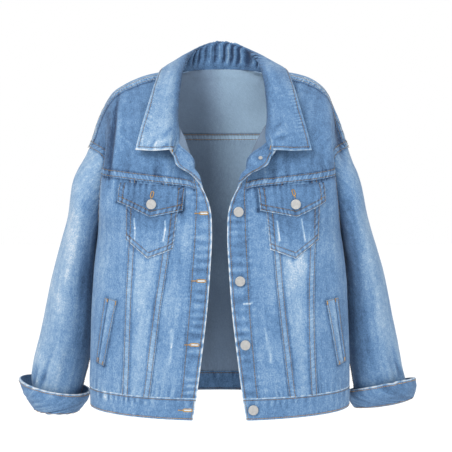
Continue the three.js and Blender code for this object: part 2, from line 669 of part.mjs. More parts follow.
const shifted = (outline, by) => (
  Object.fromEntries(Object.entries(outline).map(([name, [x, z]]) => [name, [x + by, z]])));

// A metal shank button; its lathe axis is +Y and its foot is at zero
function buttonGeometry() {
  const rim = BUTTON_THICK / 3;
  const top = SHANK_HEIGHT + BUTTON_THICK;
  const profile = [
    [0, 0], [SHANK_RADIUS, 0], [SHANK_RADIUS, SHANK_HEIGHT], [BUTTON_RADIUS - rim, SHANK_HEIGHT],
    [BUTTON_RADIUS, SHANK_HEIGHT + rim], [BUTTON_RADIUS, top - rim], [BUTTON_RADIUS - rim, top], [0, top],
  ];
  return new THREE.LatheGeometry(profile.map((p) => new THREE.Vector2(...p)), BUTTON_SIDES);
}

function tackGeometry() {
  const profile = [
    [0, 0], [TACK_RADIUS, 0], [TACK_RADIUS, TACK_THICK / 2], [TACK_RADIUS / 2, TACK_THICK], [0, TACK_THICK],
  ];
  return new THREE.LatheGeometry(profile.map((p) => new THREE.Vector2(...p)), BUTTON_SIDES);
}

// Materials
const denim = new THREE.MeshStandardMaterial({ color: 0x7ea4d2, roughness: 0.9, metalness: 0 });
const denimDark = new THREE.MeshStandardMaterial({ color: 0x6a94c6, roughness: 0.9, metalness: 0 });
const denimPale = new THREE.MeshStandardMaterial({ color: 0x94b8de, roughness: 0.9, metalness: 0 });
const buttonMetal = new THREE.MeshStandardMaterial({ color: 0xd9d6cf, roughness: 0.35, metalness: 0.8 });

const jacket = new THREE.Group();

function add(name, geometry, material) {
  const mesh = new THREE.Mesh(geometry, material);
  mesh.name = name;
  jacket.add(mesh);
  return mesh;
}

// Puts a lathe-made piece on the cloth, its axis along the outward direction
function seat(mesh, point, outward, lift, side) {
  const axis = new THREE.Vector3(side * outward.x, outward.y, outward.z);
  mesh.position.copy(placed(point, side)).addScaledVector(axis, lift);
  mesh.quaternion.setFromUnitVectors(new THREE.Vector3(0, 1, 0), axis);
}

const sides = [{ tag: 'left', sign: 1 }, { tag: 'right', sign: -1 }];
const lowerT = samples(ROW.bandTop, ROW.yoke, [...LOWER_STEPS, ...UPPER_FRONT_STEPS]);
const yokeT = samples(ROW.yoke, FRONT_LAST, UPPER_FRONT_STEPS, ROW.underarm);
const stripT = [...lowerT, ...samples(ROW.yoke, ROW.neck, UPPER_FRONT_STEPS, ROW.underarm).slice(1)];
const backLowerT = samples(ROW.bandTop, BACK_YOKE_ROW, [...LOWER_STEPS, ...UPPER_BACK_STEPS]);
const backYokeT = samples(BACK_YOKE_ROW, BACK_LAST, UPPER_BACK_STEPS, ROW.underarm);
const frontS = (from, to) => samples(COL[from], COL[to], FRONT_STEPS);
const backS = (from, to) => samples(from, to, BACK_STEPS);

add('waistband', waistband(DOUBLE_CLOTH), denimDark);
add('collar', collar(), denimPale);
add('back_centre', acrossBack(backS(0, COL.inner), backLowerT, CLOTH), denim);
add('back_yoke', acrossBack(backS(0, COL.arm), backYokeT, CLOTH), denim);

for (const { tag, sign } of sides) {
  add(`placket_${tag}`, bodyPiece(true, frontS('edge', 'placket'), stripT, DOUBLE_CLOTH, sign), denimDark);
  add(`front_inner_${tag}`, bodyPiece(true, frontS('placket', 'inner'), lowerT, CLOTH, sign), denim);
  add(`front_middle_${tag}`, bodyPiece(true, frontS('inner', 'outer'), lowerT, CLOTH, sign), denimPale);
  add(`front_side_${tag}`, bodyPiece(true, frontS('outer', 'arm'), lowerT, CLOTH, sign), denim);
  add(`front_yoke_${tag}`, bodyPiece(true, frontS('placket', 'arm'), yokeT, CLOTH, sign), denim);
  add(`back_side_${tag}`, bodyPiece(false, backS(COL.inner, COL.arm), backLowerT, CLOTH, sign), denim);
  add(`sleeve_${tag}`, sleeve(sign, HANG[tag], CUFFS[tag].fold), denim);
  add(`cuff_${tag}`, cuff(sign, CUFFS[tag]), denimDark);
  const flapLift = (f) => LIE_GAP + (FLAP_LIFT - LIE_GAP) * Math.min(f / FLAP_TURN, 1);
  add(`flap_${tag}`, lyingPiece(FLAP, FLAP_CLOTH, flapLift, sign, 10, 5), denimDark);
  add(`pocket_${tag}`, lyingPiece(POCKET, PATCH_CLOTH, () => LIE_GAP, sign, 8, 6), denimDark);
  const welt = shifted(WELT, WELT_SHIFT[tag]);
  add(`welt_${tag}`, lyingPiece(welt, WELT_CLOTH, () => LIE_GAP, sign, 2, 8), denimDark);
  const button = add(`button_flap_${tag}`, buttonGeometry(), buttonMetal);
  const [s, t] = frontAt(FLAP_BUTTON.x, FLAP_BUTTON.z);
  const point = netPoint(frontNet, s, t);
  const outward = netNormal(frontNet, s, t, 1);
  seat(button, point, outward, FLAP_LIFT + FLAP_CLOTH + SEAM_GAP, sign);
}

for (const { name, x, z } of FRONT_BUTTONS) {
  const [s, t] = frontAt(x, z);
  const button = add(name, buttonGeometry(), buttonMetal);
  seat(button, netPoint(frontNet, s, t), netNormal(frontNet, s, t, 1), SEAM_GAP, 1);
}
const neckPoint = netPoint(frontNet, NECK_TACK.across, NECK_TACK.row);
const neckOut = netNormal(frontNet, NECK_TACK.across, NECK_TACK.row, 1);
const neckTack = add('neck_tack', tackGeometry(), buttonMetal);
seat(neckTack, neckPoint, neckOut.clone().negate(), DOUBLE_CLOTH + SEAM_GAP, 1);

export default jacket;
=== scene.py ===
"""Looks of a denim jacket, worn open and filled out with nobody in it, around its packed frame."""

import bpy
import numpy as np
from bpy.props import FloatProperty, FloatVectorProperty, IntProperty, PointerProperty
from bpy.types import Operator, Panel as SidebarPanel, PropertyGroup
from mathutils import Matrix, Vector


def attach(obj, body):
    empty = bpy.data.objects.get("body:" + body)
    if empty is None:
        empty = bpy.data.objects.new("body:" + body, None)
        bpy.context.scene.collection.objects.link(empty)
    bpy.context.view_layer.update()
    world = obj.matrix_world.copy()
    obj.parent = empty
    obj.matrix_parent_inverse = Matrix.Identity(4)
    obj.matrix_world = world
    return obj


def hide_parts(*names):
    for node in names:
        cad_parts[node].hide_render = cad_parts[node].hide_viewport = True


bl_info = {
    "name": "Denim jacket",
    "version": (1, 0, 0),
    "blender": (4, 5, 0),
    "location": "3D View > Sidebar > Jacket",
    "description": "Cloth, sewing and buttons of an open denim jacket around its packed frame",
    "category": "Object",
}

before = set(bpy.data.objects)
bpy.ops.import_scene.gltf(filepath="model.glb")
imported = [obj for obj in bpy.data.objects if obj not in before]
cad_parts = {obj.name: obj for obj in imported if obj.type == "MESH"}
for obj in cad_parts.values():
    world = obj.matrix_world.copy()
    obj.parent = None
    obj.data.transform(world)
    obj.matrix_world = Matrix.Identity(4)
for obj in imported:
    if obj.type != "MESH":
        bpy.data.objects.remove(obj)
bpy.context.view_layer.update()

# Form of the jacket, in millimetres: +X is the wearer's left, -Y the front, +Z up
MM = 0.001
CLOTH = 2.0
DOUBLE_CLOTH = 3.0
COLLAR_CLOTH = 1.8
COLLAR_LIFT = 0.6
FRONT_ROUND = 2.6
BACK_ROUND = 2.0
LEAN = dict(by=6.5, fromZ=-420, toZ=-210, fullX=120, armholeX=140, sleeveX=200)
LEFT_SHOULDER = dict(by=4.5, fromX=150, toX=205, fromZ=-330, toZ=-170)
BACK_HALF_X = 40

# Sections of the body from hem to underarm, as half widths, depths and the places of the seams
TORSO = [
    dict(name="hem", z=-559.2, width=216, front=112, back=107, sideY=-15, dip=9.5,
      edge=42.5, placket=70.0, inner=116, outer=159, backSeam=74),
    dict(name="bandTop", z=-525.5, width=217, front=113, back=107, sideY=-15, dip=8,
      edge=36.5, placket=62.5, inner=110, outer=156, backSeam=78),
    dict(name="low", z=-466, width=217, front=113, back=107, sideY=-14, dip=4,
      edge=28.0, placket=56.0, inner=102, outer=153, backSeam=86),
    dict(name="waist", z=-400, width=215, front=113, back=107, sideY=-12, dip=2,
      edge=20.0, placket=50.0, inner=94, outer=151, backSeam=94),
    dict(name="ribs", z=-330, width=211, front=112, back=108, sideY=-8, dip=0,
      edge=14.5, placket=45.5, inner=85, outer=150, backSeam=102),
    dict(name="underarm", z=-270, width=205, front=110, back=109, sideY=0, dip=0,
      edge=12.0, placket=42.0, inner=80, outer=150, backSeam=107),
]

FRONT_TOP = [
    dict(name="flap", edge=(14, -108, -238), strip=(27, -109, -238), placket=(41, -108, -238),
      roll=(50, -107, -238), under=(62, -106, -238), inner=(82, -105, -238), outer=(150, -94, -237),
      corner=(194, -62, -236), valley=(198, -46, -236), arm=(199, -31, -236)),
    dict(name="yoke", edge=(23, -108, -211), strip=(31, -109, -207), placket=(40.5, -107, -204),
      roll=(48, -106, -201), under=(59, -105, -199), inner=(84, -103, -196), outer=(150, -92, -188),
      corner=(190, -66, -180), valley=(192, -55, -178), arm=(192, -47, -178)),
    dict(name="turn", edge=(45, -115, -183), strip=(34, -111, -185), placket=(44, -105, -188),
      roll=(51, -101, -186), under=(61, -100, -185), inner=(87, -99, -181), outer=(150, -90, -175),
      corner=(189, -65, -169), valley=(190, -53, -167), arm=(191, -49, -167)),
    dict(name="lapel", edge=(73, -114, -164), strip=(58, -113, -161), placket=(44, -105, -159),
      roll=(48, -97, -161), under=(62, -95, -163), inner=(91, -96, -164), outer=(150, -87, -161),
      corner=(188.5, -64, -157), valley=(189, -51, -156), arm=(191, -50, -156)),
    dict(name="neck", edge=(76, -105, -152), strip=(73, -101, -143), placket=(69, -97, -132),
      roll=(56, -90, -131), under=(66, -86, -132), inner=(94, -90, -136), outer=(150, -83, -140),
      corner=(187, -61, -140), valley=(188.5, -49, -141), arm=(196, -46, -146)),
    dict(name="chest", placket=(74, -60, -86), roll=(77, -63, -88), under=(83, -67, -91),
      inner=(100, -75, -97), outer=(149, -71, -103), corner=(184, -53, -105), valley=(190, -40, -114),
      arm=(207, -31, -138)),
    dict(name="high", placket=(80, -31, -41), roll=(83, -34, -43), under=(89, -38, -46),
      inner=(104, -46, -52), outer=(147, -45, -61), corner=(181, -35, -70), valley=(196, -24, -92),
      arm=(217, -14, -132)),
    dict(name="shoulder", placket=(84, -11, -5), roll=(87.5, -11, -5.3), under=(93, -11, -6.2),
      inner=(106, -11, -8.5), outer=(146, -11, -19), corner=(179, -11, -39), valley=(200, -9, -74),
      arm=(220.5, -5, -129.5)),
]

BACK_TOP = [
    dict(name="blade", centre=(0, 110, -195), half=(40, 109, -195), placket=(70, 105, -195),
      roll=(78, 103, -195), under=(90, 100, -195), inner=(112, 92, -195), outer=(146, 79, -195),
      corner=(180, 58, -195), valley=(193, 46, -194), arm=(197, 40, -192)),
    dict(name="backYoke", centre=(0, 105, -107), half=(40, 104, -107), placket=(70, 101, -107),
      roll=(78, 99, -107), under=(90, 96, -107), inner=(112, 89, -107), outer=(147, 76, -108),
      corner=(182, 56, -114), valley=(197, 44, -126), arm=(208, 34, -140)),
    dict(name="upper", centre=(0, 90, -45), half=(40, 88, -45), placket=(74, 77, -46),
      roll=(82, 73, -46), under=(92, 69, -47), inner=(112, 61, -50), outer=(148, 50, -57),
      corner=(183, 38, -75), valley=(203, 27, -100), arm=(218, 19, -133)),
    dict(name="neck", centre=(0, 76, -5), half=(42, 68, -7), placket=(80, 40, -12),
      roll=(86, 37, -13), under=(94, 35, -14), inner=(111, 31, -17), outer=(147, 26, -26),
      corner=(182, 20, -48), valley=(204, 15, -83), arm=(221.5, 10, -130)),
    dict(name="ridge", centre=(0, 70, 7), half=(43, 61, 4), placket=(83, 9, 3.5),
      roll=(87, 6, 3.5), under=(93, 5, 2.8), inner=(106, 5, 0.8), outer=(146, 5, -9.5),
      corner=(181, 5, -31), valley=(203, 4, -70), arm=(222.5, 3, -128.5)),
    dict(name="shoulder", centre=(0, 65, 16), half=(44, 54, 13)),
]

SLEEVE = [
    dict(name="head",   inX=208, inZ=-285, outX=241, outZ=-170, frontY=-53, backY=62, follow=0),
    dict(name="bicep",  inX=211, inZ=-308, outX=258, outZ=-246, frontY=-46, backY=78, follow=0),
    dict(name="elbow",  inX=213, inZ=-358, outX=285, outZ=-338, frontY=-30, backY=86, follow=0),
    dict(name="fore",   inX=217, inZ=-452, outX=307, outZ=-442, frontY=-20, backY=82, follow=0.3),
    dict(name="wrist",  inX=233, inZ=-530, outX=322, outZ=-520, frontY=-12, backY=67, follow=0.6),
]

COLLAR = [
    dict(name="end",      stand=(82, -108, -143), fold=(78, -112, -142), crest=(83, -116, -142),
      leaf=(110, -112, -143), edge=(140, -103, -141)),
    dict(name="corner",   stand=(73, -101, -127), fold=(75, -103, -120), crest=(82, -107, -118),
      leaf=(107, -105, -117), edge=(135, -98, -118)),
    dict(name="front",    stand=(72, -62, -79),   fold=(73, -69, -72),   crest=(82, -74, -69),
      leaf=(104, -81, -74),   edge=(125, -82, -77)),
    dict(name="side",     stand=(74, -31, -26),   fold=(67, -32, -12),   crest=(78, -35, -4),
      leaf=(97, -41, -14),    edge=(115, -43, -28)),
    dict(name="shoulder", stand=(74, 4, 9),       fold=(60, 6, 19),      crest=(76, 12, 23),
      leaf=(94, 13, 16),      edge=(107, 8, 5)),
    dict(name="rear",     stand=(61, 33, 24),     fold=(51, 38, 39),     crest=(62, 52, 43),
      leaf=(80, 63, 22),      edge=(93, 67, -13)),
    dict(name="nape",     stand=(31, 60, 35),     fold=(29, 61, 57),     crest=(33, 73, 59),
      leaf=(42, 88, 28),      edge=(52, 95, -14)),
    dict(name="centre",   stand=(0, 67, 40),      fold=(0, 69, 65),      crest=(0, 80, 67),
      leaf=(0, 95, 32),       edge=(0, 103, -12)),
]
FRONT_COLUMNS = ["edge", "strip", "placket", "roll", "under", "inner", "outer", "corner", "valley", "arm"]
BACK_COLUMNS = ["centre", "half", "placket", "roll", "under", "inner", "outer", "corner", "valley", "arm"]
COL = {name: k for k, name in enumerate(FRONT_COLUMNS)}

# The turned-up cuff's fold and rim, how unlike the two sleeves hang, and what lies on the fronts
CUFFS = {
    1: (dict(x=283, y=28, z=-568.5, halfX=50, halfY=34, slopeX=0.16, slopeY=-0.07),
        dict(x=279.5, y=28, z=-534.3, halfX=57.5, halfY=53, slopeX=0.187, slopeY=-0.15)),
    -1: (dict(x=283, y=28, z=-579.5, halfX=37, halfY=43, slopeX=0.07, slopeY=0),
         dict(x=286, y=28, z=-535.7, halfX=61.5, halfY=53, slopeX=0.198, slopeY=0.06)),
}
SLEEVE_END = dict(inside=3.5, above=1.2)
CUFF_BULGE = 4
HANG = {1: dict(sleeve=-4, cuff=-5, up=5), -1: dict(sleeve=1.5, cuff=5, up=-1)}
FLAP = dict(topInner=(57, -202), topOuter=(163, -192), lowInner=(61, -238), tip=(115.5, -248),
            lowOuter=(165, -223))
POCKET = dict(topInner=(68, -226), topOuter=(154, -219), lowInner=(76.5, -299), tip=(117, -314),
              lowOuter=(154, -284))
WELT = dict(topInner=(170, -381), topOuter=(189, -377), lowInner=(191.5, -487), lowOuter=(205, -482))
WELT_SHIFT = {1: 0, -1: -6}
LIE_GAP = 0.9
FLAP_LIFT = 3.2
FLAP_TURN = 0.35
FLAP_CLOTH = 2.2
PATCH_CLOTH = 1.4

# How far each row of stitches lies from the edge that it follows, and how wide the felled seams are
PANEL_ROWS = (1.8, 9.8)
YOKE_ROWS = (2.2, 10.9)
ARMHOLE_ROWS = (2.2, 11.0)
UNDERARM_ROWS = (2.0, 11.0)
SIDE_SEAM_ROWS = (2.0, 10.4)
PATCH_ROWS = (2.2, 9.6)
PLACKET_EDGE_ROW = 4.5
PLACKET_SEAM_ROW = 2.5
SHOULDER_ROW = 7.2
BACK_SHOULDER_ROW = 2.4
BAND_ROW = 3.0
HEM_ROW = 2.8
SLEEVE_SEAM_ROW = 3.6
CUFF_RIM_ROW = 3.4
CUFF_FOLD_ROW = 2.4
COLLAR_ROW = 5.0
WELT_ROW = 1.4
PANEL_SEAM = dict(width=11.5, pucker=0.25, worn=0.12, crimped=0.15)
YOKE_SEAM_WIDTH = 12.0
ARMHOLE_SEAM_WIDTH = 12.5
SEAM_ROW_INSETS = (1.8, 1.6)
ROW_LIFT = 0.25
BAR_LIFT = 0.3
CLOSE_PITCH = 0.0008

# Small steps along a net, for its directions
NORMAL_STEP = 0.02
SLOPE_STEP = 0.01
FOOT_STEP = 0.05
NEWTON_ROUNDS = 40


# Curves, nets and noise
def smoothstep(value, low, high):
    share = np.clip((np.asarray(value, float) - low) / (high - low), 0.0, 1.0)
    return share * share * (3.0 - 2.0 * share)


def unit(vectors):
    return vectors / np.maximum(np.linalg.norm(vectors, axis=-1, keepdims=True), 1e-9)


def slopes(points):
    """Directions of smooth curves at their points; points are (count, curves, 3)."""
    step = np.diff(points, axis=0)
    length = np.maximum(np.linalg.norm(step, axis=-1, keepdims=True), 1e-6)
    out = np.empty_like(points)
    out[0] = step[0] / length[0]
    out[-1] = step[-1] / length[-1]
    before, after = length[:-1], length[1:]
    out[1:-1] = (step[:-1] * after / before + step[1:] * before / after) / (before + after)
    return out


def hermite(a, b, slope_a, slope_b, share):
    span = np.linalg.norm(b - a, axis=-1, keepdims=True)
    square, cube = share ** 2, share ** 3
    return (a * (2 * cube - 3 * square + 1) + slope_a * (cube - 2 * square + share) * span
            + b * (3 * square - 2 * cube) + slope_b * (cube - square) * span)


def curve(points, at):
    """Points at the given places on smooth curves through points (count, curves, 3)."""
    at = np.asarray(at, float)
    k = np.clip(np.floor(at).astype(int), 0, len(points) - 2)
    tangent = slopes(points)
    return hermite(points[k], points[k + 1], tangent[k], tangent[k + 1], (at - k)[:, None, None])


def line(points, at):
    """The same for a single curve through points (count, 3)."""
    return curve(np.asarray(points, float)[:, None], at)[:, 0]


def net_grid(net, ss, ts):
    """Points of a net of rows of points: s runs along a row, t across the rows."""
    rows = curve(net.transpose(1, 0, 2), ss)
    return curve(rows.transpose(1, 0, 2), ts)


def net_normals(net, ss, ts, turn):
    step = NORMAL_STEP
    ss, ts = np.asarray(ss, float), np.asarray(ts, float)
    most_s, most_t = net.shape[1] - 1, net.shape[0] - 1
    along = net_grid(net, np.minimum(ss + step, most_s), ts) - net_grid(net, np.maximum(ss - step, 0), ts)
    up = net_grid(net, ss, np.minimum(ts + step, most_t)) - net_grid(net, ss, np.maximum(ts - step, 0))
    return unit(np.cross(along, up)) * turn


def net_at(net, s, t):
    """Points of a net at scattered places."""
    k = np.clip(np.floor(s).astype(int), 0, net.shape[1] - 2)
    columns = net.transpose(1, 0, 2)
    tangent = slopes(columns)
    share = (s - k)[:, None, None]
    rows = hermite(columns[k], columns[k + 1], tangent[k], tangent[k + 1], share).transpose(1, 0, 2)
    tangent = slopes(rows)
    k = np.clip(np.floor(t).astype(int), 0, len(rows) - 2)
    many = np.arange(len(t))
    return hermite(rows[k, many], rows[k + 1, many], tangent[k, many], tangent[k + 1, many], (t - k)[:, None])


def arc(points):
    """Length run along a line of points."""
    step = np.linalg.norm(np.diff(points, axis=0), axis=-1)
    return np.concatenate([np.zeros((1,) + step.shape[1:]), np.cumsum(step, axis=0)])


def stations(measure, start, end, fine, coarse, margin):
    """Places from start to end on a curve, close together near both ends; measure gives its points."""
    probe = np.linspace(start, end, 240)
    run = arc(measure(probe))
    total = run[-1]
    if total < 2 * margin + coarse:
        marks = np.linspace(0, total, max(3, int(round(total / fine)) + 1))
    else:
        border = np.linspace(0, margin, int(round(margin / fine)) + 1)
        middle = np.linspace(margin, total - margin, int(round((total - 2 * margin) / coarse)) + 2)
        marks = np.concatenate([border, middle[1:-1], total - border[::-1]])
    return np.interp(marks, run, probe)


def lattice(cells, seed):
    """A repeatable random value from -1 to 1 for each whole-number cell (..., axes)."""
    weights = np.array([374761393, 668265263, 1274126177], dtype=np.uint64)
    mixed = np.full(cells.shape[:-1], seed * 144665 + 97, dtype=np.uint64)
    for axis in range(cells.shape[-1]):
        mixed = mixed ^ (cells[..., axis].astype(np.int64).astype(np.uint64) * weights[axis])
        mixed = (mixed ^ (mixed >> np.uint64(13))) * np.uint64(1103515245)
    return ((mixed >> np.uint64(16)) & np.uint64(65535)).astype(float) / 32767.5 - 1.0


def noise(places, seed):
    """Smooth noise from -1 to 1 at places (..., axes), with one cell to a unit."""
    places = np.asarray(places, float)
    low = np.floor(places)
    share = places - low
    share = share * share * (3 - 2 * share)
    total = 0.0
    for corner in np.ndindex(*(2,) * places.shape[-1]):
        offset = np.array(corner)
        weight = np.prod(np.where(offset == 1, share, 1 - share), axis=-1)
        total = total + weight * lattice(low + offset, seed)
    return total


def ripple(run, pitch, seed):
    """Uneven ropes along a seam, from about -1 to 1."""
    places = (np.asarray(run, float) / pitch)[..., None]
    drift = noise(places * 0.45, seed)
    swell = 0.7 + 0.5 * noise(places * 0.6, seed + 7)
    return swell * np.sin(2 * np.pi * places[..., 0] + 3.4 * drift) + 0.3 * noise(places * 2.3, seed + 3)


# The nets of the front and the back
def section_depth(section, x, is_front):
    power = FRONT_ROUND if is_front else BACK_ROUND
    reach = -section["front"] - section["sideY"] if is_front else section["back"] - section["sideY"]
    share = min(abs(x) / section["width"], 1)
    return section["sideY"] + reach * (1 - share ** power) ** (1 / power)


def front_row(section):
    edge, placket, inner = section["edge"], section["placket"], section["inner"]
    outer, width = section["outer"], section["width"]
    xs = [edge, (edge + placket) / 2, placket, placket + (inner - placket) * 0.2,
          placket + (inner - placket) * 0.5, inner, outer, outer + (width - outer) * 0.66,
          outer + (width - outer) * 0.93, width]
    return [(x, section_depth(section, x, True), section["z"] - section["dip"] * (1 - (x / width) ** 2))
            for x in xs]


def back_row(section):
    seam, width = section["backSeam"], section["width"]
    xs = [0, BACK_HALF_X * seam / 110, seam * 0.62, seam * 0.72, seam * 0.84, seam,
          seam + (width - seam) * 0.45, seam + (width - seam) * 0.8, seam + (width - seam) * 0.96, width]
    return [(x, section_depth(section, x, False), section["z"]) for x in xs]


def top_row(row, columns):
    """A row of named points; what it lacks at its start only carries the curve on."""
    points = [np.array(row[c], float) if c in row else None for c in columns]
    for k in (1, 0):
        if points[k] is None:
            points[k] = points[k + 1] * 2 - points[k + 2]
    return points


FRONT_NET = np.array([front_row(r) for r in TORSO] + [top_row(r, FRONT_COLUMNS) for r in FRONT_TOP], float)
BACK_NET = np.array([back_row(r) for r in TORSO]
                    + [top_row({**FRONT_TOP[-1], **r} if r["name"] == "shoulder" else r, BACK_COLUMNS)
                       for r in BACK_TOP], float)
ROW = {r["name"]: k for k, r in enumerate(TORSO + FRONT_TOP)}
BACK_YOKE_ROW = len(TORSO) + 1
FRONT_LAST = len(FRONT_NET) - 1
BACK_LAST = len(BACK_NET) - 1


def arm_line(is_front, ts):
    """The side seam below the underarm and the armhole above it, as both sides of the seam share them."""
    net = FRONT_NET if is_front else BACK_NET
    low = line(FRONT_NET[:ROW["underarm"] + 1, COL["arm"]], np.clip(ts, 0, ROW["underarm"]))
    high = line(net[ROW["underarm"]:, COL["arm"]], np.clip(ts - ROW["underarm"], 0, None))
    return np.where((ts <= ROW["underarm"])[:, None], low, high)


def body_grid(is_front, ss, ts):
    """Outer points and outward normals of the body, with shared lines at the side and shoulder seams."""
    ss, ts = np.asarray(ss, float), np.asarray(ts, float)
    net, other = (FRONT_NET, BACK_NET) if is_front else (BACK_NET, FRONT_NET)
    turn = 1 if is_front else -1
    grid = net_grid(net, ss, ts)
    normal = net_normals(net, ss, ts, turn)
    arm = COL["arm"]
    near_arm = np.clip(1 - (arm - ss), 0, 1)[None, :, None] ** 2
    own = net_grid(net, [arm], ts)[:, 0]
    grid = grid + (arm_line(is_front, ts) - own)[:, None] * near_arm
    below = np.where(ts <= ROW["underarm"], 1.0, 0.0)[:, None, None]
    across = net_normals(other, [arm], np.clip(ts, 0, ROW["underarm"]), -turn)
    own_arm = net_normals(net, [arm], ts, turn)
    normal = normal + (unit(across + own_arm) - own_arm) * near_arm * below
    last = len(net) - 1
    near_top = np.clip(1 - (last - ts), 0, 1)[:, None, None] ** 2
    over = (ss >= COL["placket"])[None, :, None]
    shoulder = line(FRONT_NET[FRONT_LAST, COL["placket"]:], np.clip(ss - COL["placket"], 0, None))
    own = net_grid(net, ss, [last])[0]
    grid = grid + np.where(over, (shoulder - own)[None] * near_top, 0)
    other_top = net_normals(other, ss, [len(other) - 1], -turn)
    own_top = net_normals(net, ss, [last], turn)
    normal = normal + np.where(over, (unit(other_top + own_top) - own_top) * near_top, 0)
    return grid, unit(normal)


def placed(points, side):
    """Points of the symmetric pattern on one side of the jacket; side -1 is the wearer's right."""
    out = np.abs(points[..., 0])
    share = smoothstep(points[..., 2], LEAN["fromZ"], LEAN["toZ"]) * smoothstep(out, 0, LEAN["fullX"])
    lean = LEAN["by"] * share * (1 - smoothstep(out, LEAN["armholeX"], LEAN["sleeveX"]))
    drawn = LEFT_SHOULDER["by"] * smoothstep(out, LEFT_SHOULDER["fromX"], LEFT_SHOULDER["toX"])
    drawn = drawn * smoothstep(points[..., 2], LEFT_SHOULDER["fromZ"], LEFT_SHOULDER["toZ"]) * (side > 0)
    moved = points.copy()
    moved[..., 0] = side * points[..., 0] + lean - drawn
    return moved


def turned(normals, side):
    return normals * np.array([side, 1, 1])


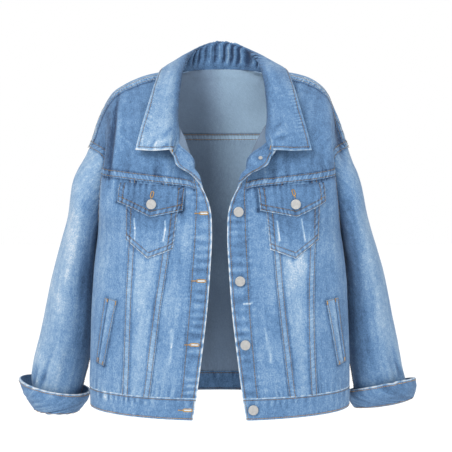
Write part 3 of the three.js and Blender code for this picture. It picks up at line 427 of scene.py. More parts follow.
# Soft folds, listed one by one: from and to as seen from the front, half width, height and shade; the shade
# is painted shade in the troughs and painted light on the ridges, with some fading of the cloth in it too
FOLDS = [
    dict(face="front", at=((-171, -38), (-178, -200)), width=3.6, height=-3.6, shade=-0.50),
    dict(face="front", at=((-96, -128), (-74, -104)), width=4.0, height=-1.6, shade=-0.26),
    dict(face="front", at=((-112, -141), (-99, -122)), width=3.5, height=-1.2, shade=-0.20),
    dict(face="front", at=((-104, -136), (-86, -116)), width=3.5, height=1.2, shade=0.12),
    dict(face="front", at=((-92, -140), (-78, -131)), width=3.2, height=-1.0, shade=-0.24),
    dict(face="front", at=((-122, -112), (-110, -104)), width=3.0, height=-0.8, shade=-0.14),
    dict(face="front", at=((87, -128), (114, -116)), width=3.5, height=-1.2, shade=-0.20),
    dict(face="front", at=((82, -113), (102, -94)), width=3.5, height=-1.2, shade=-0.18),
    dict(face="front", at=((86, -121), (108, -106)), width=3.5, height=1.0, shade=0.10),
    dict(face="front", at=((-182, -55), (-188, -215)), width=8.0, height=-2.4, shade=-0.20),
    dict(face="front", at=((-161, -35), (-166, -200)), width=6, height=2.4, shade=0.05),
    dict(face="front", at=((191, -30), (207, -158)), width=5.5, height=-5.0, shade=-0.30),
    dict(face="front", at=((178, -30), (190, -190)), width=8, height=2.0),
    dict(face="front", at=((-309, -494), (-319, -536)), width=4.5, height=-3.2, shade=-0.22),
    dict(face="front", at=((-296, -506), (-309, -540)), width=4.0, height=-3.0, shade=-0.20),
    dict(face="front", at=((-303, -500), (-314, -538)), width=3.5, height=1.6, shade=0.10),
    dict(face="front", at=((298, -488), (313, -524)), width=4.5, height=-3.2, shade=-0.24),
    dict(face="front", at=((304, -484), (320, -520)), width=4.0, height=1.8, shade=0.10),
    dict(face="front", at=((-262, -455), (-283, -528)), width=9, height=2.6),
    dict(face="front", at=((-283, -462), (-305, -535)), width=8, height=-3.0),
    dict(face="front", at=((-300, -470), (-318, -530)), width=7, height=2.2),
    dict(face="front", at=((-236, -210), (-262, -420)), width=16, height=2.0, shade=0.05),
    dict(face="front", at=((-222, -300), (-238, -500)), width=12, height=-2.2, shade=-0.05),
    dict(face="front", at=((-255, -330), (-290, -470)), width=14, height=1.4),
    dict(face="front", at=((236, -220), (262, -440)), width=15, height=1.8),
    dict(face="front", at=((222, -300), (236, -510)), width=12, height=-2.2),
    dict(face="front", at=((283, -470), (303, -536)), width=6, height=-3.4),
    dict(face="front", at=((275, -452), (293, -538)), width=7, height=1.8),
    dict(face="front", at=((-150, -40), (-146, -120)), width=12, height=-1.3),
    dict(face="front", at=((-128, -60), (-126, -185)), width=13, height=1.0),
    dict(face="front", at=((-104, -150), (-97, -190)), width=6, height=-1.6, shade=-0.10),
    dict(face="front", at=((-66, -158), (-62, -186)), width=5, height=-1.2, shade=-0.12),
    dict(face="front", at=((-86, -150), (-78, -192)), width=6, height=1.4),
    dict(face="front", at=((172, -50), (180, -170)), width=12, height=1.2),
    dict(face="front", at=((152, -60), (150, -170)), width=14, height=-1.0),
    dict(face="front", at=((92, -150), (84, -196)), width=6, height=-1.5, shade=-0.12),
    dict(face="front", at=((112, -140), (106, -185)), width=7, height=-1.2, shade=-0.10),
    dict(face="front", at=((74, -158), (66, -200)), width=7, height=1.3),
    dict(face="front", at=((-60, -205), (-56, -262)), width=7, height=-1.6, shade=-0.22),
    dict(face="front", at=((-75, -250), (-64, -330)), width=9, height=-1.6, shade=-0.05),
    dict(face="front", at=((-58, -215), (-52, -330)), width=9, height=1.2),
    dict(face="front", at=((-112, -350), (-92, -470)), width=8, height=-1.6, shade=-0.10),
    dict(face="front", at=((-128, -370), (-118, -500)), width=14, height=1.4, shade=0.03),
    dict(face="front", at=((-95, -485), (-88, -528)), width=8, height=1.3),
    dict(face="front", at=((-190, -330), (-196, -470)), width=12, height=1.2),
    dict(face="front", at=((80, -270), (92, -420)), width=15, height=1.3),
    dict(face="front", at=((116, -330), (124, -480)), width=18, height=-1.2),
    dict(face="front", at=((182, -240), (196, -400)), width=12, height=1.6),
    dict(face="front", at=((190, -430), (200, -520)), width=9, height=-1.2),
    dict(face="back", at=((-60, -170), (-40, -420)), width=24, height=2.4),
    dict(face="back", at=((70, -200), (52, -470)), width=26, height=-2.2),
    dict(face="back", at=((0, -250), (10, -500)), width=22, height=1.8),
    dict(face="back", at=((-170, -150), (-120, -300)), width=18, height=-2.4),
    dict(face="back", at=((172, -150), (128, -310)), width=17, height=2.4),
    dict(face="back", at=((-190, -280), (-160, -480)), width=18, height=1.8),
    dict(face="back", at=((188, -300), (170, -500)), width=16, height=-1.9),
    dict(face="back", at=((-24, -430), (-16, -525)), width=11, height=-1.4),
    dict(face="back", at=((98, -430), (104, -525)), width=12, height=1.5),
    dict(face="back", at=((-250, -260), (-275, -470)), width=17, height=2.4),
    dict(face="back", at=((-232, -320), (-250, -520)), width=13, height=-2.4),
    dict(face="back", at=((248, -240), (268, -440)), width=16, height=-2.2),
    dict(face="back", at=((270, -330), (296, -530)), width=12, height=2.4),
    dict(face="back", at=((-290, -440), (-306, -535)), width=8, height=2.2),
    dict(face="back", at=((262, -455), (276, -540)), width=8, height=-2.4),
]


def segment_distance(x, z, start, end):
    """Distance from a segment as seen from the front, and the share along it."""
    dx, dz = end[0] - start[0], end[1] - start[1]
    share = np.clip(((x - start[0]) * dx + (z - start[1]) * dz) / (dx * dx + dz * dz), 0, 1)
    return np.hypot(x - start[0] - share * dx, z - start[1] - share * dz), share


def draped(points, normals):
    """How far the cloth stands out from its pattern, and its shade: hand-placed folds and unevenness."""
    x, z = points[..., 0], points[..., 2]
    front = smoothstep(-normals[..., 1], 0.1, 0.5)
    back = smoothstep(normals[..., 1], 0.1, 0.5)
    height = 0.9 * noise(points / 58.0, 3) + 0.35 * noise(points / 21.0, 4)
    shade = np.zeros_like(height)
    for fold in FOLDS:
        start, end = fold["at"]
        distance, share = segment_distance(x, z, start, end)
        taper = np.clip(np.sin(np.pi * np.clip(share, 0.04, 0.96)), 0, 1) ** 0.6
        bend = 1 + 0.25 * np.sin(7 * share + start[0])
        facing = front if fold["face"] == "front" else back
        drop = taper * np.exp(-(distance / (fold["width"] * bend)) ** 2) * facing
        height = height + fold["height"] * drop
        shade = shade + fold.get("shade", 0.0) * drop
    return height, shade


# A cut piece of cloth as a fine grid
FOLD_FADE_AND_SHADE = 0.035


class Cut:
    """Outer points, normals and the distance of each point from the piece's four edges."""

    def __init__(self, points, normals, thick, closed=False):
        self.points, self.normals, self.thick, self.closed = points, normals, thick, closed
        along = arc(points.transpose(1, 0, 2)).T
        up = arc(points)
        self.near, self.far = along, along[:, -1:] - along
        self.low, self.high = up, up[-1:] - up
        self.height, fold_painted_shade_and_light = draped(points, normals)
        self.wear_and_shade = np.zeros(points.shape[:2])
        # Paler where the cloth stands out and darker in its troughs, partly fading and partly painted shade,
        # with the folds' own painted shade and light added
        self.shade = 0.5 + FOLD_FADE_AND_SHADE * np.clip(self.height, -6, 3) + fold_painted_shade_and_light
        self.across = np.zeros(points.shape[:2])
        self.along = np.zeros(points.shape[:2])
        self.width = along[:, -1].max()
        self.length = up[-1].max()
        self.surface = points
        self.shown = normals

    def edges(self):
        return {"near": self.near, "far": self.far, "low": self.low, "high": self.high}

    def run(self, edge):
        """Length along an edge, for what repeats along it."""
        return self.low if edge in ("near", "far") else self.near

    def raise_by(self, height=0.0, wear_and_shade=0.0, shade=0.0):
        """Adds to how far the cloth stands out, how worn it is and how pale."""
        self.height = self.height + height
        self.wear_and_shade = self.wear_and_shade + wear_and_shade
        self.shade = self.shade + shade

    def crimp(self, edge, share):
        """Marks where fine puckers cross a seam, for the material to draw."""
        if edge in ("near", "far"):
            self.along = np.maximum(self.along, share)
        else:
            self.across = np.maximum(self.across, share)

    def mark(self, start, end, width, wear_and_shade=0.0, shade=0.0):
        """A scratch or a rubbed place between two points, as seen from the front."""
        distance, _ = segment_distance(self.points[..., 0], self.points[..., 2], start, end)
        near = np.exp(-(distance / width) ** 2) * (self.normals[..., 1] < 0)
        self.raise_by(wear_and_shade=wear_and_shade * near, shade=shade * near)

    def strip(self, edge, seed, width=10.5, height=0.8, pucker=0.45, worn=0.22, reach=10.0, slant=0.2,
              crimped=0.4):
        """A felled seam along an edge: a raised strip, roped between its rows of stitches."""
        away, run = self.edges()[edge], self.run(edge)
        rope = ripple(run + slant * away, 9.0, seed)
        inside = 1 - smoothstep(away, width - 0.9, width + 0.9)
        beyond = np.exp(-(np.clip(away - width, 0, None) / reach) ** 2) * (1 - inside)
        self.raise_by(inside * (height + pucker * rope) + 0.6 * pucker * rope * beyond,
                      inside * (0.04 + 0.6 * worn * np.clip(rope, -0.6, 1)) + 0.25 * worn * rope * beyond)
        # The strip a little paler, and a painted shadow line just beyond its edge
        self.raise_by(shade=0.06 * inside - 0.24 * np.exp(-((away - width - 0.8) / 1.4) ** 2))
        self.crimp(edge, crimped * inside)
        first, last = SEAM_ROW_INSETS
        self.row_groove(edge, first)
        self.row_groove(edge, width - last)

    def row_groove(self, edge, at, depth=0.35, width=1.1, shade=-0.20):
        """The dark groove that a row of stitches pulls into the cloth."""
        groove = np.exp(-((self.edges()[edge] - at) / width) ** 2)
        self.raise_by(-depth * groove, shade=shade * groove)

    def sunk_edge(self, edge, depth=0.45, shade=-0.28, width=1.7):
        """The dark line where a piece goes under its neighbour's edge."""
        away = self.edges()[edge]
        self.raise_by(-depth * np.exp(-(away / 2.2) ** 2), shade=shade * np.exp(-(away / width) ** 2))

    def pucker(self, edge, seed, reach=14.0, pitch=11.0, size=0.6, worn=0.12, start=0.0):
        """Ripples that run out from an edge into the cloth."""
        away, run = self.edges()[edge], self.run(edge)
        rope = ripple(run, pitch, seed)
        share = np.exp(-(np.clip(away - start, 0, None) / reach) ** 2) * (away >= start - 1)
        self.raise_by(size * rope * share, 0.6 * worn * rope * share)
        self.crimp(edge, 0.12 * share)

    def free_edge(self, edge, worn=0.55, width=1.3, round_by=0.7):
        """A turned edge: rounded off and worn pale."""
        away, run = self.edges()[edge], self.run(edge)
        patchy = 0.8 + 0.35 * ripple(run, 14.0, 91)
        near = np.exp(-(away / width) ** 2)
        self.raise_by(-round_by * np.exp(-(away / 0.8) ** 2), worn * near * patchy)

    def finish(self):
        """Moves the outer points out and works out the shown normals from them."""
        self.surface = self.points + self.normals * self.height[..., None]
        grid = self.surface
        if self.closed:
            grid = np.concatenate([grid[:, -2:-1], grid, grid[:, 1:2]], axis=1)
        across = np.gradient(grid, axis=1)
        if self.closed:
            across = across[:, 1:-1]
        up = np.gradient(self.surface, axis=0)
        shown = unit(np.cross(across, up))
        turn = np.sign(np.sum(shown * self.normals))
        self.shown = shown * (turn if turn else 1.0)
        self.turn = turn
        return self

    def area(self):
        """Area of the outer side in square metres, before the relief."""
        across = np.diff(self.points, axis=1)[:-1]
        up = np.diff(self.points, axis=0)[:, :-1]
        return np.linalg.norm(np.cross(across, up), axis=-1).sum() * MM * MM

    def trace(self, edge, away, start=0.0, end=0.0, inside=False):
        """A line at a distance from an edge, as points and normals on the finished cloth."""
        table = self.edges()[edge]
        upright = edge in ("near", "far")
        grid = self.surface if not inside else self.surface - self.normals * self.thick
        normals = self.shown if not inside else -self.normals
        if not upright:
            table, grid, normals = table.T, grid.transpose(1, 0, 2), normals.transpose(1, 0, 2)
        falls = edge in ("far", "high")
        points, ups = [], []
        for distances, row, row_normals in zip(table, grid, normals):
            order = slice(None, None, -1) if falls else slice(None)
            places = np.arange(len(distances), dtype=float)[order]
            place = np.interp(away, distances[order], places)
            k = min(int(place), len(row) - 2)
            share = place - k
            points.append(row[k] * (1 - share) + row[k + 1] * share)
            ups.append(row_normals[k] * (1 - share) + row_normals[k + 1] * share)
        points, ups = np.array(points), unit(np.array(ups))
        run = arc(points)
        keep = (run >= start - 0.01) & (run <= run[-1] - end + 0.01)
        return points[keep] + ups[keep] * ROW_LIFT, ups[keep]


def body_cut(is_front, s_span, t_span, side, thick=CLOTH, fine=1.4, coarse=3.4, margin=16.0):
    """A piece of the body between two columns and two rows of its net."""
    net = FRONT_NET if is_front else BACK_NET
    mid_s, mid_t = sum(s_span) / 2, sum(t_span) / 2
    ss = stations(lambda at: net_grid(net, at, [mid_t])[0], *s_span, fine, coarse, margin)
    ts = stations(lambda at: net_grid(net, [mid_s], at)[:, 0], *t_span, fine, coarse, margin)
    points, normals = body_grid(is_front, ss, ts)
    return Cut(placed(points, side), turned(normals, side), thick)


def across_back_cut(s_far, t_span, thick=CLOTH, fine=1.4, coarse=3.6, margin=16.0):
    """A back piece from side to side: its near edge is on the wearer's right."""
    mid_t = sum(t_span) / 2
    half = stations(lambda at: net_grid(BACK_NET, at, [mid_t])[0], -s_far, s_far, fine, coarse, margin)
    half = half[half >= 0]
    half[0] = 0.0
    ts = stations(lambda at: net_grid(BACK_NET, [s_far / 2], at)[:, 0], *t_span, fine, coarse, margin)
    points, normals = body_grid(False, half, ts)
    grid = np.concatenate([placed(points, -1)[:, :0:-1], placed(points, 1)], axis=1)
    turn = np.concatenate([turned(normals, -1)[:, :0:-1], turned(normals, 1)], axis=1)
    return Cut(grid, turn, thick)


def waistband_cut(fine=1.4, coarse=3.6):
    """From the wearer's right front edge round the back to the left front edge."""
    first, last = COL["edge"], COL["arm"]
    front = stations(lambda at: net_grid(FRONT_NET, at, [0.5])[0], first, last, fine, coarse, 12.0)
    back = stations(lambda at: net_grid(BACK_NET, at, [0.5])[0], 0, last, coarse, coarse, 12.0)
    ts = stations(lambda at: net_grid(FRONT_NET, [COL["inner"]], at)[:, 0], 0, ROW["bandTop"], 1.3, 2.0, 10.0)
    grids = []
    for k in (0, 1):
        move = (placed, turned)[k]
        front_part, back_part = body_grid(True, front, ts)[k], body_grid(False, back, ts)[k]
        right, left = (lambda g: move(g, -1)), (lambda g: move(g, 1))
        grids.append(np.concatenate([right(front_part), right(back_part)[:, -2::-1], left(back_part)[:, 1:],
                                     left(front_part)[:, -2::-1]], axis=1))
    return Cut(grids[0], grids[1], DOUBLE_CLOTH)


# Sleeves, cuffs and collar
def arm_ring(steps=5.0):
    """The armhole seam as one ring: underarm, front, shoulder, back."""
    front = stations(lambda at: arm_line(True, at), ROW["underarm"], FRONT_LAST, steps, steps, 10.0)
    back = stations(lambda at: arm_line(False, at), ROW["underarm"], BACK_LAST, steps, steps, 10.0)
    return np.concatenate([arm_line(True, front), arm_line(False, back)[::-1][1:]])


def hung(section, hang):
    """A sleeve section moved as its side hangs."""
    follow = section["follow"]
    return dict(section, inX=section["inX"] + hang["cuff"] * follow,
                outX=section["outX"] + hang["sleeve"] + (hang["cuff"] - hang["sleeve"]) * follow,
                inZ=section["inZ"] + hang["up"] * follow, outZ=section["outZ"] + hang["up"] * follow)


def sleeve_end(fold):
    """The sleeve's last section, just inside the cuff's fold."""
    half_x, half_y = fold["halfX"] - SLEEVE_END["inside"], fold["halfY"] - SLEEVE_END["inside"]
    height = fold["z"] + SLEEVE_END["above"]
    return dict(inX=fold["x"] - half_x, inZ=height - fold["slopeX"] * half_x, outX=fold["x"] + half_x,
                outZ=height + fold["slopeX"] * half_x, frontY=fold["y"] - half_y, backY=fold["y"] + half_y)


def sleeve_ring(section, shares):
    out = (1 - np.cos(shares * 2 * np.pi)) / 2
    mid_y = (section["frontY"] + section["backY"]) / 2
    half_y = (section["backY"] - section["frontY"]) / 2
    return np.stack([section["inX"] + (section["outX"] - section["inX"]) * out,
                     mid_y - half_y * np.sin(shares * 2 * np.pi),
                     section["inZ"] + (section["outZ"] - section["inZ"]) * out], axis=-1)


def tube_normals(grid, centre):
    closed = np.concatenate([grid[:, -2:-1], grid, grid[:, 1:2]], axis=1)
    normals = unit(np.cross(np.gradient(closed, axis=1)[:, 1:-1], np.gradient(grid, axis=0)))
    return normals * np.sign(np.sum(normals * (grid - centre), axis=-1, keepdims=True))


def sleeve_cut(side):
    """A tube from the armhole to its end inside the cuff; its near and far edges meet at the inner seam."""
    ring = arm_ring(4.0)
    shares = arc(ring)
    shares = shares / shares[-1]
    sections = [hung(section, HANG[side]) for section in SLEEVE] + [sleeve_end(CUFFS[side][0])]
    rings = np.array([ring] + [sleeve_ring(section, shares) for section in sections])
    middle = len(shares) // 2
    rows = stations(lambda at: line(rings[:, middle], at), 0, len(sections), 1.8, 3.6, 14.0)
    grid = curve(rings, rows)
    grid[:, -1] = grid[:, 0]
    normals = tube_normals(grid, grid[:, :-1].mean(axis=1, keepdims=True))
    return Cut(placed(grid, side), turned(normals, side), CLOTH, closed=True)


def cuff_cut(side, sides=120, rows=26):
    """The turned-up cuff from its fold at the bottom to its rim."""
    fold, rim = CUFFS[side]
    angle = np.linspace(0, 2 * np.pi, sides + 1)
    grid = []
    for h in np.linspace(0, 1, rows):
        mix = {k: fold[k] + (rim[k] - fold[k]) * h for k in fold}
        bulge = CUFF_BULGE * np.sin(np.pi * h)
        dx = (mix["halfX"] + bulge) * np.cos(angle)
        dy = (mix["halfY"] + bulge) * np.sin(angle)
        z = mix["z"] + mix["slopeX"] * dx + mix["slopeY"] * dy
        grid.append(np.stack([side * (mix["x"] + dx), mix["y"] + dy, z], axis=-1))
    grid = np.array(grid)
    grid[:, -1] = grid[:, 0]
    normals = tube_normals(grid, grid[:, :-1].mean(axis=1, keepdims=True))
    return Cut(grid, normals, DOUBLE_CLOTH, closed=True)


def neck_at(t):
    """The neck seam from the front end over the shoulder to the centre of the back."""
    if t < 1:
        return True, COL["placket"] * t, ROW["neck"], DOUBLE_CLOTH
    if t < 4:
        return True, COL["placket"], ROW["neck"] + (FRONT_LAST - ROW["neck"]) * (t - 1) / 3, CLOTH
    last = len(COLLAR) - 1
    return False, COL["placket"] * (last - t) / (last - 4), BACK_LAST, CLOTH


def collar_foot(t):
    """The collar's foot just past the neck seam, on the side that shows."""
    last = len(COLLAR) - 1

    def point(at):
        is_front, s, row, _ = neck_at(at)
        return body_grid(is_front, [s], [row])[0][0, 0]

    is_front, s, row, thick = neck_at(t)
    along = unit(point(min(t + FOOT_STEP, last)) - point(max(t - FOOT_STEP, 0)))
    net = FRONT_NET if is_front else BACK_NET
    normal = net_normals(net, [s], [row], 1 if is_front else -1)[0, 0]
    out = unit(np.cross(normal, along))
    return point(t) + out * COLLAR_LIFT - normal * (thick - (thick - COLLAR_CLOTH) / 2)


def collar_cut():
    """The turned-down collar from the wearer's left end round the back to the right end."""
    parts = ["stand", "fold", "crest", "leaf", "edge"]
    half = [[collar_foot(k)] + [np.array(row[p], float) for p in parts] for k, row in enumerate(COLLAR)]
    half = np.array(half)
    other = half[-2::-1] * np.array([-1, 1, 1])
    net = np.concatenate([half, other])
    last = len(net) - 1
    ss = stations(lambda at: net_grid(net, at, [len(COLLAR) / 2])[0], 0, len(parts), 1.6, 2.4, 14.0)
    ts = stations(lambda at: net_grid(net, [3.0], at)[:, 0], 0, last, 1.4, 3.0, 16.0)
    grid = net_grid(net, ss, ts)
    normals = net_normals(net, ss, ts, 1)
    return Cut(placed(grid, 1), normals, COLLAR_CLOTH), ss, ts


def front_place(x, z):
    """Where the front has a given x and z, as seen from the front, found by Newton's method."""
    step = SLOPE_STEP
    s = np.full(x.shape, float(COL["outer"]))
    t = np.full(x.shape, float(ROW["ribs"]))
    for _ in range(NEWTON_ROUNDS):
        p = net_at(FRONT_NET, s, t)
        ps = (net_at(FRONT_NET, s + step, t) - p) / step
        pt = (net_at(FRONT_NET, s, t + step) - p) / step
        det = ps[:, 0] * pt[:, 2] - pt[:, 0] * ps[:, 2]
        dx, dz = x - p[:, 0], z - p[:, 2]
        s = np.clip(s + np.clip((dx * pt[:, 2] - dz * pt[:, 0]) / det, -1, 1), 0, COL["arm"] - 0.02)
        t = np.clip(t + np.clip((dz * ps[:, 0] - dx * ps[:, 2]) / det, -1, 1), 0, ROW["turn"])
    step = NORMAL_STEP
    p = net_at(FRONT_NET, s, t)
    along = net_at(FRONT_NET, s + step, t) - net_at(FRONT_NET, s - step, t)
    up = net_at(FRONT_NET, s, t + step) - net_at(FRONT_NET, s, t - step)
    return p, unit(np.cross(along, up))


def lying_cut(outline, thick, lift_at, side, columns, rows, shift=0):
    """A piece that lies on the front, between a top edge and a bottom edge, which may have a tip.
    Its low edge is the bottom one and its near edge the one towards the placket."""
    corner = {k: np.array([p[0] + shift, p[1]], float) for k, p in outline.items()}
    f = np.linspace(0, 1, columns + 1)[:, None]
    top = corner["topInner"] * (1 - f) + corner["topOuter"] * f
    bottom = corner["lowInner"] * (1 - f) + corner["lowOuter"] * f
    if "tip" in corner:
        first = corner["lowInner"] * (1 - 2 * f) + corner["tip"] * 2 * f
        second = corner["tip"] * (2 - 2 * f) + corner["lowOuter"] * (2 * f - 1)
        bottom = np.where(f < 0.5, first, second)
    down = np.linspace(1, 0, rows + 1)[:, None, None]
    flat = top[None] * (1 - down) + bottom[None] * down
    points, normals = front_place(flat[..., 0].ravel(), flat[..., 1].ravel())
    points, normals = points.reshape(flat.shape[:2] + (3,)), normals.reshape(flat.shape[:2] + (3,))
    lift = lift_at(down) + thick
    return Cut(placed(points + normals * lift, side), turned(normals, side), thick)


# Finished pieces, for what is sewn on them later
FINISHED = {}


def on_cloth(name, places):
    """Points and normals of a finished piece at places (x, z), as seen from the front."""
    cut = FINISHED[name]
    surface, shown = cut.surface.reshape(-1, 3), cut.shown.reshape(-1, 3)
    facing = shown[:, 1] < -0.2
    surface, shown = surface[facing], shown[facing]
    places = np.asarray(places, float)
    nearest = [np.argmin(np.hypot(surface[:, 0] - x, surface[:, 2] - z)) for x, z in places]
    points, ups = surface[nearest].copy(), shown[nearest]
    off = places - points[:, [0, 2]]
    points[:, 1] -= np.sum(ups[:, [0, 2]] * off, axis=1) / ups[:, 1]
    points[:, [0, 2]] += off
    return points + ups * BAR_LIFT, ups


# Settings that a user would change
class JacketCloth(PropertyGroup):
    # The ramp from indigo to pale takes painted shade and painted light as well as fading
    indigo: FloatVectorProperty(name="Indigo", description="Colour of the unworn cloth in the creases",
                                size=3, subtype="COLOR", default=(0.012, 0.032, 0.078), min=0, max=1)
    middle: FloatVectorProperty(name="Washed blue", description="Main colour of the washed cloth", size=3,
                                subtype="COLOR", default=(0.079, 0.164, 0.300), min=0, max=1)
    pale: FloatVectorProperty(name="Faded blue", description="Colour where the cloth is faded", size=3,
                              subtype="COLOR", default=(0.190, 0.288, 0.405), min=0, max=1)
    bare: FloatVectorProperty(name="Worn white", description="Colour of the bare weft at worn edges", size=3,
                              subtype="COLOR", default=(0.46, 0.50, 0.54), min=0, max=1)
    reverse: FloatVectorProperty(name="Reverse", description="Grey of the cloth's inner side", size=3,
                                 subtype="COLOR", default=(0.150, 0.212, 0.300), min=0, max=1)
    crimp: FloatProperty(name="Crimp pitch", description="Distance between the fine puckers along a seam",
                         default=0.0052, unit="LENGTH")
    twill: FloatProperty(name="Twill pitch", description="Distance between the weave's diagonal lines",
                         default=0.0011, unit="LENGTH")


class JacketSewing(PropertyGroup):
    pitch: FloatProperty(name="Stitch pitch", description="Length of one stitch with its gap", default=0.0032,
                         unit="LENGTH")
    bar: FloatProperty(name="Bar width", description="Length of the close stitches of buttonholes and bars",
                       default=0.0023, unit="LENGTH")
    thickness: FloatProperty(name="Thread thickness", description="Thickness of the topstitching thread",
                             default=0.0011, unit="LENGTH")
    tan: FloatVectorProperty(name="Topstitching", description="Colour of the topstitching thread", size=3,
                             subtype="COLOR", default=(0.165, 0.108, 0.044), min=0, max=1)
    orange: FloatVectorProperty(name="Buttonhole thread", size=3, subtype="COLOR", min=0, max=1,
                                description="Colour of buttonholes and bartacks", default=(0.36, 0.20, 0.040))


class JacketButtons(PropertyGroup):
    sides: IntProperty(name="Sides", description="Steps round a button", default=48, min=12)
    metal: FloatVectorProperty(name="Metal", description="Colour of the dull silver metal", size=3,
                               subtype="COLOR", default=(0.36, 0.36, 0.355), min=0, max=1)


# Materials
class Nodes:
    """Short names for making a material's nodes."""

    def __init__(self, name):
        self.material = bpy.data.materials.new(name)
        self.material.use_nodes = True
        self.tree = self.material.node_tree
        self.shader = self.tree.nodes["Principled BSDF"]

    def add(self, kind, **values):
        node = self.tree.nodes.new(kind)
        for key, value in values.items():
            setattr(node, key, value)
        return node

    def link(self, source, target):
        self.tree.links.new(source, target)

    def fill(self, socket, value):
        if isinstance(value, bpy.types.NodeSocket):
            self.link(value, socket)
        else:
            socket.default_value = value

    def math(self, operation, first, second=0.0, clamp=False):
        node = self.add("ShaderNodeMath", operation=operation, use_clamp=clamp)
        self.fill(node.inputs[0], first)
        self.fill(node.inputs[1], second)
        return node.outputs[0]

    def noise(self, vector, scale, detail=2.0, roughness=0.5):
        node = self.add("ShaderNodeTexNoise")
        self.link(vector, node.inputs["Vector"])
        node.inputs["Scale"].default_value = scale
        node.inputs["Detail"].default_value = detail
        node.inputs["Roughness"].default_value = roughness
        return node.outputs["Fac"]

    def wave(self, vector, direction, scale, distortion):
        node = self.add("ShaderNodeTexWave", wave_type="BANDS", bands_direction=direction)
        self.link(vector, node.inputs["Vector"])
        node.inputs["Scale"].default_value = scale
        node.inputs["Distortion"].default_value = distortion
        node.inputs["Detail"].default_value = 2.0
        node.inputs["Detail Scale"].default_value = 0.6
        return node.outputs["Fac"]

    def mapping(self, vector, scale=(1, 1, 1), rotation=(0, 0, 0)):
        node = self.add("ShaderNodeMapping")
        self.link(vector, node.inputs["Vector"])
        node.inputs["Scale"].default_value = scale
        node.inputs["Rotation"].default_value = rotation
        return node.outputs[0]

    def ramp(self, value, stops):
        node = self.add("ShaderNodeValToRGB")
        self.link(value, node.inputs[0])
        ramp = node.color_ramp
        while len(ramp.elements) < len(stops):
            ramp.elements.new(0.5)
        for element, (place, colour) in zip(ramp.elements, stops):
            element.position = place
            element.color = (*colour, 1.0)
        return node.outputs[0]

    def centred(self, value, size):
        """A noise value made to swing by size about zero."""
        return self.math("MULTIPLY", self.math("SUBTRACT", value, 0.5), size)

    def bump(self, height, distance, strength=1.0):
        node = self.add("ShaderNodeBump")
        self.link(height, node.inputs["Height"])
        node.inputs["Distance"].default_value = distance
        node.inputs["Strength"].default_value = strength
        self.link(node.outputs[0], self.shader.inputs["Normal"])


def denim(name, stops, fleck=0.75, mottle=0.55):
    """Washed twill: the shade and wear painted on the cloth, broken up by yarns, mottling and the weave."""
    cloth = bpy.context.scene.jacket_cloth
    n = Nodes(name)
    uv = n.add("ShaderNodeUVMap", uv_map="cloth").outputs[0]
    place = n.add("ShaderNodeTexCoord").outputs["Object"]
    painted = {key: n.add("ShaderNodeAttribute", attribute_name=key).outputs["Fac"]
               for key in ("shade", "wear_and_shade", "across", "along")}
    yarn = n.noise(n.mapping(uv, (900, 130, 1)), 1.0, 2.0, 0.6)
    weft = n.noise(n.mapping(uv, (260, 900, 1)), 1.0, 1.0, 0.5)
    patch = n.noise(place, 120.0, 3.0, 0.6)
    speck = n.noise(place, 480.0, 2.0, 0.7)
    cloud = n.noise(place, 17.0, 2.0, 0.5)
    streak = n.noise(n.mapping(uv, (120, 12, 1)), 1.0, 3.0, 0.6)
    twill = n.wave(uv, "DIAGONAL", 0.3 / cloth.twill, 0.6)
    crimps = []
    for key, direction, slant in (("across", "X", 0.3), ("along", "Y", -0.5)):
        slanting = n.mapping(uv, rotation=(0, 0, slant))
        rope = n.wave(slanting, direction, 0.314 / cloth.crimp, 5.5)
        crimps.append(n.math("MULTIPLY", n.centred(rope, 1.0), painted[key]))
    crimp = n.math("ADD", *crimps)
    value = painted["shade"]
    swings = ((yarn, fleck * 0.45), (weft, fleck * 0.25), (patch, mottle * 0.65), (speck, mottle * 0.9),
              (cloud, mottle * 0.7), (streak, mottle * 0.6), (twill, 0.07))
    for pattern, swing in swings:
        value = n.math("ADD", value, n.centred(pattern, swing))
    value = n.math("ADD", value, n.math("MULTIPLY", crimp, 0.40))
    value = n.math("ADD", value, painted["wear_and_shade"], clamp=True)
    n.link(n.ramp(value, stops), n.shader.inputs["Base Color"])
    n.shader.inputs["Roughness"].default_value = 0.88
    n.shader.inputs["Specular IOR Level"].default_value = 0.18
    n.shader.inputs["Sheen Weight"].default_value = 0.08
    n.shader.inputs["Sheen Roughness"].default_value = 0.6
    weave = n.math("ADD", n.math("MULTIPLY", twill, 0.5), n.math("MULTIPLY", yarn, 0.7))
    weave = n.math("ADD", weave, n.math("MULTIPLY", crimp, 3.0))
    n.bump(weave, 0.00035, 0.8)


def washed_stops(cloth):
    """Colours of the outer side, from unworn indigo to bare weft."""
    return [(0.0, cloth.indigo), (0.46, cloth.middle), (0.74, cloth.pale), (1.0, cloth.bare)]


def reverse_stops(cloth):
    """Colours of the inner side, from its shaded creases to its pale seams."""
    reverse = np.array(cloth.reverse)
    shares = ((0.0, 0.25), (0.4, 0.72), (0.6, 1.15), (1.0, 3.0))
    return [(place, tuple(np.minimum(reverse * share, 0.8))) for place, share in shares]


def thread(name, colour):
    """Spun thread, uneven in tone."""
    n = Nodes(name)
    place = n.add("ShaderNodeTexCoord").outputs["Object"]
    tone = n.noise(place, 140.0, 2.0, 0.6)
    colour = np.array(colour)
    stops = [(0.25, tuple(colour * 0.55)), (0.55, tuple(colour)), (0.8, tuple(np.minimum(colour * 1.8, 1)))]
    n.link(n.ramp(tone, stops), n.shader.inputs["Base Color"])
    n.shader.inputs["Roughness"].default_value = 0.7
    n.shader.inputs["Sheen Weight"].default_value = 0.15
    n.bump(n.noise(place, 1600.0, 1.0, 0.5), 0.0002, 0.6)


